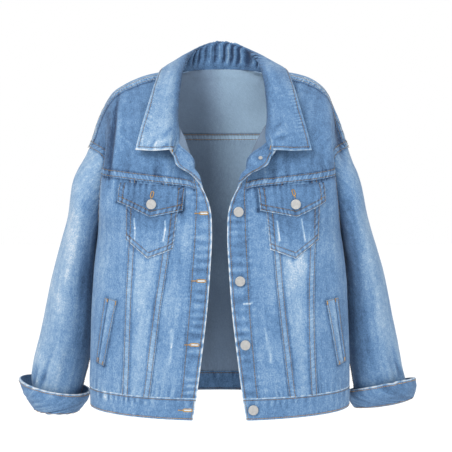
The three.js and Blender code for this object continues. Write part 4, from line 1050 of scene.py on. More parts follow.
def metal(name, colour):
    """Dull plated metal with a faint grain."""
    n = Nodes(name)
    place = n.add("ShaderNodeTexCoord").outputs["Object"]
    tone = n.noise(place, 260.0, 3.0, 0.6)
    colour = np.array(colour)
    n.link(n.ramp(tone, [(0.3, tuple(colour * 0.82)), (0.7, tuple(colour))]), n.shader.inputs["Base Color"])
    n.shader.inputs["Metallic"].default_value = 0.55
    n.shader.inputs["Roughness"].default_value = 0.42
    n.bump(n.noise(n.mapping(place, (1, 1, 6)), 900.0, 2.0, 0.5), 0.0001, 0.35)


def make_materials():
    scene = bpy.context.scene
    denim("washed_denim", washed_stops(scene.jacket_cloth))
    denim("denim_reverse", reverse_stops(scene.jacket_cloth), fleck=0.34, mottle=0.09)
    thread("thread_tan", scene.jacket_sewing.tan)
    thread("thread_orange", scene.jacket_sewing.orange)
    metal("dull_silver", scene.jacket_buttons.metal)


# Meshes
CLOTH_SHARP = 1.0
METAL_SHARP = 0.7


def mesh_object(name, points, faces, materials, indices=None, uvs=None, attributes=None, sharp=None):
    """A piece in metres with its place in its mesh; faces are quads or triangles in one array."""
    mesh = bpy.data.meshes.new(name)
    points = np.asarray(points, float) * MM
    mesh.vertices.add(len(points))
    mesh.vertices.foreach_set("co", points.ravel())
    sides = faces.shape[1]
    mesh.loops.add(faces.size)
    mesh.loops.foreach_set("vertex_index", faces.ravel())
    mesh.polygons.add(len(faces))
    mesh.polygons.foreach_set("loop_start", np.arange(0, faces.size, sides))
    mesh.polygons.foreach_set("loop_total", np.full(len(faces), sides))
    if indices is not None:
        mesh.polygons.foreach_set("material_index", indices)
    mesh.update(calc_edges=True)
    mesh.validate()
    if uvs is not None:
        layer = mesh.uv_layers.new(name="cloth")
        layer.data.foreach_set("uv", (uvs[faces.ravel()] * MM).ravel())
    for key, values in (attributes or {}).items():
        mesh.attributes.new(key, "FLOAT", "POINT").data.foreach_set("value", values)
    mesh.shade_smooth()
    if sharp is not None:
        mesh.set_sharp_from_angle(angle=sharp)
    for material in materials:
        mesh.materials.append(bpy.data.materials[material])
    piece = bpy.data.objects.new(name, mesh)
    bpy.context.scene.collection.objects.link(piece)
    return piece


def cloth_piece(name, cut, node, slot, outside="washed_denim", inside="denim_reverse",
                inner_shade=0.0):
    """The finished cut as a closed shell that stands for its CAD node."""
    FINISHED[name] = cut
    rows, columns = cut.surface.shape[:2]
    inner = cut.surface - cut.normals * cut.thick
    wide = columns - 1 if cut.closed else columns
    outer_points, inner_points = cut.surface[:, :wide], inner[:, :wide]
    points = np.concatenate([outer_points.reshape(-1, 3), inner_points.reshape(-1, 3)])
    uv = np.stack([cut.near[:, :wide], cut.low[:, :wide]], axis=-1).reshape(-1, 2)
    i, j = np.meshgrid(np.arange(rows - 1), np.arange(columns - 1), indexing="ij")
    i, j = i.ravel(), j.ravel()
    right = (j + 1) % wide if cut.closed else j + 1
    outer = np.stack([i * wide + j, i * wide + right, (i + 1) * wide + right, (i + 1) * wide + j], axis=-1)
    back = rows * wide
    faces = [outer, outer[:, ::-1] + back]

    def rim(a):
        return np.stack([a[:-1], a[:-1] + back, a[1:] + back, a[1:]], axis=-1)

    across = np.arange(columns - 1 if not cut.closed else wide)
    ring = np.append(across, [columns - 1] if not cut.closed else [0])
    faces.append(rim(ring))
    faces.append(rim(ring[::-1] + (rows - 1) * wide))
    if not cut.closed:
        up = np.arange(rows) * wide
        faces.append(rim(up[::-1]))
        faces.append(rim(up + columns - 1))
    indices = np.concatenate([np.full(len(f), k) for f, k in zip(faces, (0, 1, 0, 0, 0, 0))])
    faces = np.concatenate(faces)
    if cut.turn < 0:
        faces = faces[:, ::-1]
    # What the material reads: values, least, most and how much of it the inner side shows
    painted = {"shade": (cut.shade, 0, 1, 1.0), "wear_and_shade": (cut.wear_and_shade, -0.5, 1, 0.4),
               "across": (cut.across, 0, 1, 0.5), "along": (cut.along, 0, 1, 0.5)}
    attributes = {}
    for key, (values, least, most, reverse) in painted.items():
        shown = np.clip(values[:, :wide], least, most).ravel()
        hidden = shown * reverse
        # inner_shade adds painted light and shade to the inner side alone
        if key == "shade":
            hidden = hidden + np.broadcast_to(inner_shade, values.shape)[:, :wide].ravel()
        attributes[key] = np.concatenate([shown, hidden])
    piece = mesh_object(name, points, faces, [outside, inside], indices, np.concatenate([uv, uv]), attributes,
                        sharp=CLOTH_SHARP)
    finish_piece(piece, slot, node)
    flat = (cut.width * MM, cut.length * MM)
    area = min(cut.area(), flat[0] * flat[1])


def finish_piece(piece, slot, *nodes):
    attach(piece, "root")
    if nodes:
        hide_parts(*nodes)


# Rows of stitches
ROWS = {}


def sew(group, points, normals):
    """Adds a row of stitches to a group."""
    if len(points) > 2:
        ROWS.setdefault(group, []).append((points, normals))


def sew_rows(group, cut, edge, distances, start=0.0, end=0.0, inside=False):
    for away in distances:
        sew(group, *cut.trace(edge, away, start, end, inside=inside))


def sew_bar(group, name, start, end):
    """Adds a straight bar of close stitches on a finished piece, from and to a place (x, z)."""
    share = np.linspace(0, 1, 7)[:, None]
    sew(group, *on_cloth(name, np.array(start) * (1 - share) + np.array(end) * share))


def sew_buttonhole(name, eye, end, half=2.0):
    """Adds a buttonhole's close stitches: a ring from its eye for most of the way and a bar on to its end."""
    start, bar = np.array(eye, float), np.array(end, float)
    along = unit(bar - start)
    start = start + along * half
    end = start + 0.5 * (bar - start)
    sew_bar("buttonholes", name, end + along * half, bar)
    across = np.array([-along[1], along[0]])
    angle = np.linspace(0, np.pi, 9)[:, None]
    cap = across * np.cos(angle) + along * np.sin(angle)
    ring = np.concatenate([start + half * across + (end - start) * np.linspace(0, 1, 9)[:-1, None],
                           end + half * cap,
                           end - half * across + (start - end) * np.linspace(0, 1, 9)[1:-1, None],
                           start - half * cap])
    sew("buttonholes", *on_cloth(name, np.concatenate([ring, ring[:1]])))


def stitch_tree():
    """Geometry nodes that put a stitch at every pitch along rows of points."""
    tree = bpy.data.node_groups.new("rows_of_stitches", "GeometryNodeTree")
    face = tree.interface
    face.new_socket("Rows", in_out="INPUT", socket_type="NodeSocketGeometry")
    face.new_socket("Pitch", in_out="INPUT", socket_type="NodeSocketFloat")
    face.new_socket("Stitch", in_out="INPUT", socket_type="NodeSocketObject")
    face.new_socket("Size", in_out="INPUT", socket_type="NodeSocketVector")
    face.new_socket("Turn", in_out="INPUT", socket_type="NodeSocketVector")
    face.new_socket("Thread", in_out="INPUT", socket_type="NodeSocketMaterial")
    face.new_socket("Seed", in_out="INPUT", socket_type="NodeSocketInt")
    face.new_socket("Stitches", in_out="OUTPUT", socket_type="NodeSocketGeometry")

    def add(kind, **values):
        node = tree.nodes.new(kind)
        for key, value in values.items():
            setattr(node, key, value)
        return node

    def link(source, target):
        tree.links.new(source, target)

    given = add("NodeGroupInput").outputs
    curves = add("GeometryNodeMeshToCurve")
    link(given["Rows"], curves.inputs["Mesh"])
    spaced = add("GeometryNodeResampleCurve", mode="LENGTH")
    link(curves.outputs[0], spaced.inputs["Curve"])
    link(given["Pitch"], spaced.inputs["Length"])
    up = add("GeometryNodeInputNamedAttribute", data_type="FLOAT_VECTOR")
    up.inputs["Name"].default_value = "up"
    facing = add("FunctionNodeAxesToRotation", primary_axis="Z", secondary_axis="X")
    link(up.outputs[0], facing.inputs[0])
    link(add("GeometryNodeInputTangent").outputs[0], facing.inputs[1])
    turn = add("FunctionNodeRotateRotation", rotation_space="LOCAL")
    link(facing.outputs[0], turn.inputs[0])
    link(given["Turn"], turn.inputs[1])
    vary = add("FunctionNodeRandomValue", data_type="FLOAT_VECTOR")
    vary.inputs[0].default_value = (0.88, 0.85, 0.9)
    vary.inputs[1].default_value = (1.06, 1.15, 1.1)
    link(given["Seed"], vary.inputs["Seed"])
    size = add("ShaderNodeVectorMath", operation="MULTIPLY")
    link(vary.outputs[0], size.inputs[0])
    link(given["Size"], size.inputs[1])
    shape = add("GeometryNodeObjectInfo")
    link(given["Stitch"], shape.inputs[0])
    placed_stitches = add("GeometryNodeInstanceOnPoints")
    link(spaced.outputs[0], placed_stitches.inputs["Points"])
    link(shape.outputs["Geometry"], placed_stitches.inputs["Instance"])
    link(turn.outputs[0], placed_stitches.inputs["Rotation"])
    link(size.outputs[0], placed_stitches.inputs["Scale"])
    real = add("GeometryNodeRealizeInstances")
    link(placed_stitches.outputs[0], real.inputs[0])
    dyed = add("GeometryNodeSetMaterial")
    link(real.outputs[0], dyed.inputs["Geometry"])
    link(given["Thread"], dyed.inputs["Material"])
    link(dyed.outputs[0], add("NodeGroupOutput").inputs[0])
    return tree


def stitch_shape(sides=5):
    """One stitch: a rounded grain one unit long, thick and high, along +X."""
    rings = ((-0.5, 0.0), (-0.34, 0.42), (0.0, 0.5), (0.34, 0.42), (0.5, 0.0))
    points, faces = [(rings[0][0], 0, 0)], []
    angle = np.arange(sides) * 2 * np.pi / sides + np.pi / 2
    for x, radius in rings[1:-1]:
        points += [(x, radius * np.cos(a), radius * np.sin(a)) for a in angle]
    points.append((rings[-1][0], 0, 0))
    last = len(points) - 1
    for k in range(sides):
        n = (k + 1) % sides
        faces.append((0, 1 + n, 1 + k))
        for ring in range(2):
            a, b = 1 + ring * sides, 1 + (ring + 1) * sides
            faces += [(a + k, a + n, b + n), (a + k, b + n, b + k)]
        faces.append((last, 1 + 2 * sides + k, 1 + 2 * sides + n))
    return np.array(points) / MM, np.array(faces)


def stitched_piece(name, rows, thread_name, pitch, size, turn=0.0, seed=1):
    """The rows of one group made into a joined mesh of stitches."""
    points, ups, edges = [], [], []
    for line_points, line_ups in rows:
        start = sum(len(p) for p in points)
        points.append(line_points)
        ups.append(line_ups)
        edges += [(start + k, start + k + 1) for k in range(len(line_points) - 1)]
    points, ups = np.concatenate(points) * MM, np.concatenate(ups)
    mesh = bpy.data.meshes.new(name + "_rows")
    mesh.from_pydata(points.tolist(), edges, [])
    mesh.attributes.new("up", "FLOAT_VECTOR", "POINT").data.foreach_set("vector", ups.ravel())
    source = bpy.data.objects.new(name + "_rows", mesh)
    bpy.context.scene.collection.objects.link(source)
    shape = bpy.data.objects["one_stitch"]
    tree = bpy.data.node_groups["rows_of_stitches"]
    modifier = source.modifiers.new("stitches", "NODES")
    modifier.node_group = tree
    socket = {item.name: item.identifier for item in tree.interface.items_tree}
    modifier[socket["Pitch"]] = pitch
    modifier[socket["Stitch"]] = shape
    modifier[socket["Size"]] = size
    modifier[socket["Turn"]] = (0.0, 0.0, turn)
    modifier[socket["Thread"]] = bpy.data.materials[thread_name]
    modifier[socket["Seed"]] = seed
    bpy.context.view_layer.update()
    evaluated = source.evaluated_get(bpy.context.evaluated_depsgraph_get())
    made = bpy.data.meshes.new_from_object(evaluated)
    made.name = name
    bpy.data.objects.remove(source)
    if not made.materials:
        made.materials.append(bpy.data.materials[thread_name])
    made.shade_smooth()
    piece = bpy.data.objects.new(name, made)
    bpy.context.scene.collection.objects.link(piece)
    finish_piece(piece, "thread")


# Pieces of the jacket: each is cut, given its relief and wear, and made into a shell
SIDES = ((1, "left"), (-1, "right"))
LOWER = (ROW["bandTop"], ROW["yoke"])

# Buttonholes on the plackets by side, on the flaps and on the waistband, as places (x, z)
HOLES = {
    1: [],
    -1: [((-18, -242), (-39, -242)), ((-22, -348.5), (-44, -348.5)), ((-32, -449), (-55, -449)),
         ((-62, -147), (-64, -160))],
}
FLAP_HOLES = {1: ((115.6, -204.7), (119.6, -217.6)), -1: ((-105.4, -207.6), (-108.2, -220.4))}
BAND_HOLES = [((-43, -552), (-65, -552))]

# Scratches and rubbed places: from and to (x, z), width and how worn
MARKS = [
    ((-136, -250), (-135, -266), 1.3, 0.60),
    ((-135, -266), (-135.5, -284), 1.1, 0.50),
    ((-86, -254), (-86, -268), 1.3, 0.55),
    ((-86, -268), (-89, -286), 1.1, 0.50),
    ((91, -254), (95, -285), 1.2, 0.50),
    ((130, -251), (136, -286), 1.2, 0.50),
    ((-75, -426), (-76, -452), 1.7, 0.40),
    ((-76, -452), (-80, -480), 1.7, 0.26),
    ((71, -422), (82, -477), 1.8, 0.30),
    ((38, -384), (51, -384), 1.6, 0.60),
]


def side_fade_and_shade(cut, side):
    """The wearer's left side is a little less faded than the right, as it is washed."""
    cut.raise_by(0.0, 0.0, -0.035 if side > 0 else 0.03)


def scratched(cut):
    """The scratches and rubbed places that lie on this piece."""
    for start, end, width, worn in MARKS:
        cut.mark(start, end, width, worn)


def rub_hole(cut, eye, end):
    """The pale worn inside of a buttonhole."""
    eye, end = np.array(eye), np.array(end)
    cut.mark(eye + 0.08 * (end - eye), eye + 0.5 * (end - eye), 2.0, 1.0)


def painted_outline_shadow(cut, outline, side, shift=0.0):
    """The soft dark line round a piece that lies on this one."""
    names = [name for name in ("topInner", "lowInner", "tip", "lowOuter", "topOuter") if name in outline]
    corners = [(side * (outline[name][0] + shift), outline[name][1]) for name in names]
    for start, end in zip(corners, corners[1:]):
        cut.mark(start, end, 3.0, 0.0, -0.26)


def make_fronts():
    for side, tag in SIDES:
        seed = 10 if side > 0 else 40
        make_placket(side, tag, seed)
        make_front_inner(side, tag, seed)
        make_front_middle(side, tag, seed)
        make_front_side(side, tag, seed)
        make_front_yoke(side, tag, seed)


def make_placket(side, tag, seed):
    cut = body_cut(True, (COL["edge"], COL["placket"]), (ROW["bandTop"], ROW["neck"]), side,
                   DOUBLE_CLOTH, fine=1.3, coarse=2.2)
    blotch = ripple(cut.low, 16.0, seed) * smoothstep(cut.far, 2, 10)
    cut.raise_by(0.35 * blotch, 0.14 * blotch, -0.07)
    cut.pucker("far", seed + 1, reach=9, pitch=9, size=0.45, worn=0.14)
    cut.free_edge("near", worn=0.75, width=1.9)
    for eye, end in HOLES[side]:
        rub_hole(cut, eye, end)
    scratched(cut)
    cut.raise_by(0.5 * np.exp(-(cut.far / 3.0) ** 2))
    cut.row_groove("near", PLACKET_EDGE_ROW)
    cut.row_groove("far", PLACKET_SEAM_ROW)
    cut.raise_by(-0.5 * smoothstep(-cut.far, -0.8, 0))
    side_fade_and_shade(cut, side)
    cut.finish()
    cloth_piece(f"placket_cloth_{tag}", cut, f"placket_{tag}", "denim", inside="washed_denim")
    sew_rows("front", cut, "near", [PLACKET_EDGE_ROW], 1, 1)
    sew_rows("front", cut, "far", [PLACKET_SEAM_ROW], 1, 12)
    sew_rows("facing", cut, "near", [PLACKET_EDGE_ROW], 330, 1, inside=True)


def make_front_inner(side, tag, seed):
    cut = body_cut(True, (COL["placket"], COL["inner"]), LOWER, side)
    cut.pucker("near", seed + 2, reach=11, pitch=10, size=0.5, worn=0.12)
    cut.pucker("low", seed + 3, reach=16, pitch=9, size=0.7, worn=0.2)
    cut.sunk_edge("far")
    cut.sunk_edge("near", 0.3, -0.20)
    scratched(cut)
    cut.pucker("high", seed + 4, reach=12, pitch=7, size=0.6, worn=0.16)
    cut.sunk_edge("high", 0.45, -0.38, 4.0)
    painted_outline_shadow(cut, FLAP, side)
    side_fade_and_shade(cut, side)
    cut.finish()
    cloth_piece(f"front_inner_cloth_{tag}", cut, f"front_inner_{tag}", "denim")


def make_front_middle(side, tag, seed):
    cut = body_cut(True, (COL["inner"], COL["outer"]), LOWER, side)
    cut.strip("near", seed + 5, **PANEL_SEAM)
    cut.strip("far", seed + 6, **PANEL_SEAM)
    middle = smoothstep(np.minimum(cut.near, cut.far), 8, 26)
    cut.raise_by(0, 0, 0.12 * middle * smoothstep(-cut.high, -250, -90))
    cut.raise_by(0, 0, (0.17 if side > 0 else 0.08) * middle)
    scratched(cut)
    cut.pucker("low", seed + 7, reach=18, pitch=9, size=0.8, worn=0.2)
    cut.pucker("high", seed + 8, reach=13, pitch=7, size=0.6, worn=0.18)
    cut.sunk_edge("high", 0.45, -0.38, 4.0)
    painted_outline_shadow(cut, POCKET, side)
    painted_outline_shadow(cut, FLAP, side)
    side_fade_and_shade(cut, side)
    cut.finish()
    cloth_piece(f"front_middle_cloth_{tag}", cut, f"front_middle_{tag}", "denim_faded")
    for edge in ("near", "far"):
        sew_rows("front", cut, edge, PANEL_ROWS, 0, 0)


def make_front_side(side, tag, seed):
    cut = body_cut(True, (COL["outer"], COL["arm"]), LOWER, side)
    cut.sunk_edge("near")
    cut.pucker("low", seed + 9, reach=17, pitch=9, size=0.8, worn=0.2)
    cut.pucker("high", seed + 10, reach=12, pitch=7, size=0.4, worn=0.16)
    cut.sunk_edge("high", 0.45, -0.38, 4.0)
    painted_outline_shadow(cut, FLAP, side)
    painted_outline_shadow(cut, WELT, side, WELT_SHIFT[side])
    armhole = smoothstep(cut.points[..., 2], -276, -262)
    rope = ripple(cut.low, 9.0, seed + 11)
    inside = (1 - smoothstep(cut.far, 11.5, 13.0)) * armhole
    cut.raise_by(inside * (0.7 + 0.4 * rope), inside * (0.05 + 0.16 * rope))
    side_fade_and_shade(cut, side)
    cut.finish()
    cloth_piece(f"front_side_cloth_{tag}", cut, f"front_side_{tag}", "denim")
    above = cut.low[cut.points[:, 0, 2] > -268, 0]
    for away in UNDERARM_ROWS:
        sew("sides", *cut.trace("far", away, above[0] if len(above) else 0, 0))


def make_front_yoke(side, tag, seed):
    cut = body_cut(True, (COL["placket"], COL["arm"]), (ROW["yoke"], FRONT_LAST), side, fine=1.3)
    cut.strip("low", seed + 12, width=YOKE_SEAM_WIDTH, height=0.9, pucker=0.5, worn=0.26, reach=16, slant=0.1)
    cut.strip("far", seed + 13, width=ARMHOLE_SEAM_WIDTH, height=0.8, pucker=0.45)
    shoulder = 1 - smoothstep(cut.high, 8.5, 10.0)
    rope = ripple(cut.near + 0.6 * cut.high, 8.0, seed + 15)
    # The raised shoulder strip, worn on its ropes, with a painted shadow line just beyond it
    cut.raise_by(shoulder * (0.9 + 0.4 * rope), shoulder * (0.16 + 0.18 * rope),
                 -0.30 * np.exp(-((cut.high - 11.0) / 2.2) ** 2))
    cut.crimp("high", 0.45 * shoulder)
    cut.raise_by(0, 0.06 * np.exp(-(cut.low / 1.8) ** 2), -0.15 if side < 0 else -0.08)
    streak = ripple(cut.near, 20.0, seed + 14)
    cut.raise_by(0.3 * streak * smoothstep(cut.low, 20, 60), 0.05 * streak)
    side_fade_and_shade(cut, side)
    cut.finish()
    cloth_piece(f"front_yoke_cloth_{tag}", cut, f"front_yoke_{tag}", "denim")
    sew_rows("front", cut, "low", YOKE_ROWS)
    sew_rows("front", cut, "high", [SHOULDER_ROW], 2, 2)
    sew_rows("sides", cut, "far", ARMHOLE_ROWS, 10, 0)


def make_back():
    cut = across_back_cut(COL["inner"], (ROW["bandTop"], BACK_YOKE_ROW))
    for k, edge in enumerate(("near", "far")):
        cut.strip(edge, 70 + k, **PANEL_SEAM)
    middle = smoothstep(np.minimum(cut.near, cut.far), 10, 70)
    cut.raise_by(0, 0, 0.07 * middle)
    cut.pucker("low", 72, reach=20, pitch=14, size=0.9, worn=0.12)
    cut.pucker("high", 73, reach=14, pitch=10, size=0.6, worn=0.1)
    cut.finish()
    # Painted light on the inner side, high up and towards the wearer's left, and painted shade low down
    inside_painted_light = 0.16 * smoothstep(cut.points[..., 2], -330, -200) * smoothstep(cut.points[..., 0], -50, 40)
    inside_painted_light = inside_painted_light - 0.08 * smoothstep(-cut.points[..., 2], 330, 450)
    cloth_piece("back_centre_cloth", cut, "back_centre", "denim", inner_shade=inside_painted_light)
    for edge in ("near", "far"):
        sew_rows("back", cut, edge, PANEL_ROWS)
    for side, tag in SIDES:
        make_back_side(side, tag, 80 if side > 0 else 90)
    make_back_yoke()


def make_back_side(side, tag, seed):
    cut = body_cut(False, (COL["inner"], COL["arm"]), (ROW["bandTop"], BACK_YOKE_ROW), side)
    # Sunk under the centre panel's strip, with a painted shadow line there as negative wear
    cut.raise_by(-0.45 * np.exp(-(cut.near / 2.2) ** 2), -0.10 * np.exp(-(cut.near / 2.6) ** 2))
    cut.pucker("low", seed, reach=18, pitch=14, size=0.9, worn=0.12)
    cut.pucker("high", seed + 1, reach=14, pitch=10, size=0.5, worn=0.1)
    cut.strip("far", seed + 2, width=11.5, height=0.7)
    side_fade_and_shade(cut, side)
    cut.finish()
    cloth_piece(f"back_side_cloth_{tag}", cut, f"back_side_{tag}", "denim")
    sew_rows("back", cut, "far", SIDE_SEAM_ROWS)


def make_back_yoke():
    cut = across_back_cut(COL["arm"], (BACK_YOKE_ROW, BACK_LAST), fine=1.3)
    cut.strip("low", 75, width=YOKE_SEAM_WIDTH, height=0.9, pucker=0.55, worn=0.24, reach=15, slant=0.15)
    for k, edge in enumerate(("near", "far")):
        cut.strip(edge, 76 + k, width=ARMHOLE_SEAM_WIDTH)
    shoulder = smoothstep(np.abs(cut.points[..., 0]), 84, 90)
    rope = ripple(np.abs(cut.points[..., 0]) * 1.15 + 0.9 * cut.high, 8.0, 78)
    inside = (1 - smoothstep(cut.high, 7.5, 9.0)) * shoulder
    cut.raise_by(inside * (1.0 + 0.45 * rope), inside * (0.08 + 0.2 * rope))
    cut.raise_by(0, 0.2 * shoulder * np.exp(-(cut.high / 1.5) ** 2))
    cut.raise_by(0, 0, 0.04)
    cut.finish()
    # Painted light on the yoke's inner side towards the wearer's left
    inside_painted_light = 0.26 * smoothstep(cut.points[..., 0], -50, 30)
    cloth_piece("back_yoke_cloth", cut, "back_yoke", "denim", inner_shade=inside_painted_light)
    sew_rows("back", cut, "low", YOKE_ROWS)
    sew_rows("inside", cut, "low", YOKE_ROWS, inside=True)
    sew_rows("back", cut, "near", ARMHOLE_ROWS)
    sew_rows("back", cut, "far", ARMHOLE_ROWS)
    points, ups = cut.trace("high", BACK_SHOULDER_ROW)
    for part in (points[:, 0] > 88, points[:, 0] < -80):
        sew("back", points[part], ups[part])


def make_waistband():
    cut = waistband_cut()
    blotch = ripple(cut.near + 0.25 * cut.high, 11.0, 60)
    near_top = np.exp(-((cut.high - 8) / 7) ** 2)
    uneven = blotch * (0.6 + 0.8 * noise(cut.points / 30.0, 61))
    cut.raise_by(0.6 * blotch * near_top, 0.34 * uneven * near_top)
    for eye, end in BAND_HOLES:
        rub_hole(cut, eye, end)
    cut.pucker("low", 62, reach=9, pitch=9, size=0.3, worn=0.09)
    cut.free_edge("low", worn=0.35, width=1.3)
    cut.free_edge("high", worn=0.55, width=1.4, round_by=0.4)
    cut.free_edge("near", worn=0.6, width=1.6)
    cut.free_edge("far", worn=0.6, width=1.6)
    cut.row_groove("high", BAND_ROW)
    cut.row_groove("low", HEM_ROW)
    cut.raise_by(0.35, 0.0, -0.03)
    cut.finish()
    # The band's inner side gets painted shade
    cloth_piece("waistband_cloth", cut, "waistband", "denim", inside="washed_denim", inner_shade=-0.16)
    for inside in (False, True):
        sew_rows("facing" if inside else "band", cut, "high", [BAND_ROW], 1, 1, inside=inside)
        sew_rows("facing" if inside else "hem", cut, "low", [HEM_ROW], 1, 1, inside=inside)
    sew_rows("band", cut, "near", [BAND_ROW], 3, 3)
    sew_rows("band", cut, "far", [BAND_ROW], 3, 3)


def make_sleeves():
    for side, tag in SIDES:
        seed = 100 if side > 0 else 120
        cut = sleeve_cut(side)
        streak = ripple(cut.near, 17.0, seed) * 0.7 + 0.3 * ripple(cut.near, 6.0, seed + 1)
        cut.raise_by(0.25 * streak, 0.05 * streak)
        # Paler on the outer side and darker on the side towards the body: partly fading, partly painted light
        # and shade
        outward = turned(cut.normals, side)[..., 0]
        cut.raise_by(0, 0, 0.14 * smoothstep(outward, -0.3, 0.4) - 0.06 * smoothstep(-outward, 0.3, 0.9))
        cut.pucker("low", seed + 2, reach=15, pitch=12, size=0.5, worn=0.1)
        # Sunk at the armhole, with a painted shadow line there as negative wear
        cut.raise_by(-0.4 * np.exp(-(cut.low / 2.2) ** 2), -0.12 * np.exp(-(cut.low / 2.4) ** 2))
        seam = np.minimum(cut.near, cut.far)
        rope = ripple(cut.low, 10.0, seed + 3)
        inside = 1 - smoothstep(seam, 5.0, 6.2)
        cut.raise_by(inside * (0.6 + 0.35 * rope), inside * (0.05 + 0.15 * rope))
        side_fade_and_shade(cut, side)
        cut.finish()
        cloth_piece(f"sleeve_cloth_{tag}", cut, f"sleeve_{tag}", "denim")
        for edge in ("near", "far"):
            sew_rows("sleeves", cut, edge, [SLEEVE_SEAM_ROW], 3, 3)
        make_cuff(side, tag, seed + 5)


def make_cuff(side, tag, seed):
    cut = cuff_cut(side)
    blotch = ripple(cut.near, 15.0, seed)
    near_fold = 1.4 * np.exp(-(cut.low / 11) ** 2)
    cut.raise_by(0.6 * blotch * near_fold, 0.17 * blotch * near_fold)
    crease = ripple(cut.near * 0.8 + cut.low * 0.5, 22.0, seed + 1) * noise(cut.points / 24.0, seed + 3)
    cut.raise_by(1.2 * crease, 0.16 * crease)
    cut.raise_by(0.0, 0.05 * ripple(cut.near, 30.0, seed + 2), -0.08)
    cut.free_edge("high", worn=0.75, width=2.0, round_by=0.9)
    cut.free_edge("low", worn=0.2, width=2.0, round_by=0.8)
    cut.row_groove("high", CUFF_RIM_ROW)
    cut.row_groove("low", CUFF_FOLD_ROW)
    side_fade_and_shade(cut, side)
    cut.finish()
    cloth_piece(f"cuff_cloth_{tag}", cut, f"cuff_{tag}", "denim", inside="washed_denim")
    sew_rows("cuffs", cut, "high", [CUFF_RIM_ROW])
    sew_rows("cuffs", cut, "low", [CUFF_FOLD_ROW])


def make_collar():
    cut, ss, ts = collar_cut()
    s, t = np.meshgrid(ss, ts)
    back = smoothstep(np.abs(t - (len(COLLAR) - 1)), 4.2, 2.2)
    hidden = 1 - smoothstep(s, 2.1, 3.0)
    wrinkle = ripple(cut.low, 15.0, 130) + 0.5 * ripple(cut.low, 6.5, 131)
    depth = hidden * back * smoothstep(s, 0.1, 0.8)
    cut.raise_by(2.0 * wrinkle * depth, 0.30 * wrinkle * depth)
    # Painted shade on the stand round the back, where it lies inside the neck under the leaf
    cut.raise_by(0, 0, -0.30 * hidden * smoothstep(np.abs(t - 7), 6.5, 4.5))
    cut.pucker("far", 132, reach=11, pitch=7, size=0.5, worn=0.26, start=4.5)
    cut.pucker("low", 133, reach=16, pitch=9, size=0.7, worn=0.24, start=4.0)
    cut.pucker("high", 134, reach=16, pitch=9, size=0.7, worn=0.24, start=4.0)
    for edge in ("low", "high"):
        cut.free_edge(edge, worn=0.42, width=1.6, round_by=0.8)
        cut.row_groove(edge, COLLAR_ROW)
    cut.free_edge("far", worn=0.2, width=1.4, round_by=0.7)
    cut.row_groove("far", COLLAR_ROW)
    # The leaf paler on the wearer's right and a little darker on the left: partly fading, partly painted
    # light and shade
    right_fade_and_light = smoothstep(-cut.points[..., 0], -10, 60)
    cut.raise_by(0, 0, smoothstep(s, 2.4, 3.4) * (0.15 * right_fade_and_light - 0.05 * (1 - right_fade_and_light)))
    cut.finish()
    cloth_piece("collar_cloth", cut, "collar", "denim", inside="washed_denim")
    sew_rows("collar", cut, "far", [COLLAR_ROW], 5, 5)
    for edge in ("low", "high"):
        points, ups = cut.trace(edge, COLLAR_ROW, 0, 5)
        keep = arc(points) > arc(points)[-1] - 66
        sew("collar", points[keep], ups[keep])
    sew_bar("tacks", "collar_cloth", (-75, -139), (-74, -145))
    sew_bar("tacks", "collar_cloth", (81, -135), (80, -141))


def make_pockets():
    for side, tag in SIDES:
        seed = 150 if side > 0 else 170
        pocket = lying_cut(POCKET, PATCH_CLOTH, lambda f: np.full_like(f, LIE_GAP), side, 56, 60)
        pocket_relief(pocket, seed)
        scratched(pocket)
        pocket.finish()
        cloth_piece(f"pocket_cloth_{tag}", pocket, f"pocket_{tag}", "denim", inside="washed_denim")
        for edge in ("near", "far", "low"):
            sew_rows("pockets", pocket, edge, PATCH_ROWS, 2, 2)
        flap = lying_cut(FLAP, FLAP_CLOTH, flap_lift, side, 76, 36)
        pocket_relief(flap, seed + 5, top=True)
        flap.finish()
        cloth_piece(f"flap_cloth_{tag}", flap, f"flap_{tag}", "denim", inside="washed_denim")
        for edge in ("near", "far", "low"):
            sew_rows("pockets", flap, edge, PATCH_ROWS, 2, 2)
        make_welt(side, tag, seed + 9)


def flap_lift(down):
    return LIE_GAP + (FLAP_LIFT - LIE_GAP) * np.minimum(down / FLAP_TURN, 1)


def pocket_relief(cut, seed, top=False):
    for k, edge in enumerate(("near", "far", "low")):
        away, run = cut.edges()[edge], cut.run(edge)
        rope = ripple(run + 0.4 * away, 8.0, seed + k)
        inside = 1 - smoothstep(away, 10.6, 12.0)
        cut.raise_by(inside * 0.35 * rope, inside * 0.16 * rope)
        cut.free_edge(edge, worn=0.42, width=1.9, round_by=0.8)
        for row in PATCH_ROWS:
            cut.row_groove(edge, row)
    if top:
        cut.pucker("high", seed + 4, reach=10, pitch=9, size=0.6, worn=0.16)
        # The flap a little darker, with painted shade along its top edge
        cut.raise_by(0, 0, -0.14 - 0.14 * np.exp(-(cut.high / 4) ** 2))
    else:
        # Painted shade at the pocket's top under the flap, fading out downwards, and a painted shadow line at
        # its top edge
        cut.raise_by(0, 0, -0.20 + 0.22 * smoothstep(-cut.high, -20, -80))
        cut.sunk_edge("high", 0.0)
    cut.raise_by(0, 0.05 * ripple(cut.near, 12.0, seed + 3))


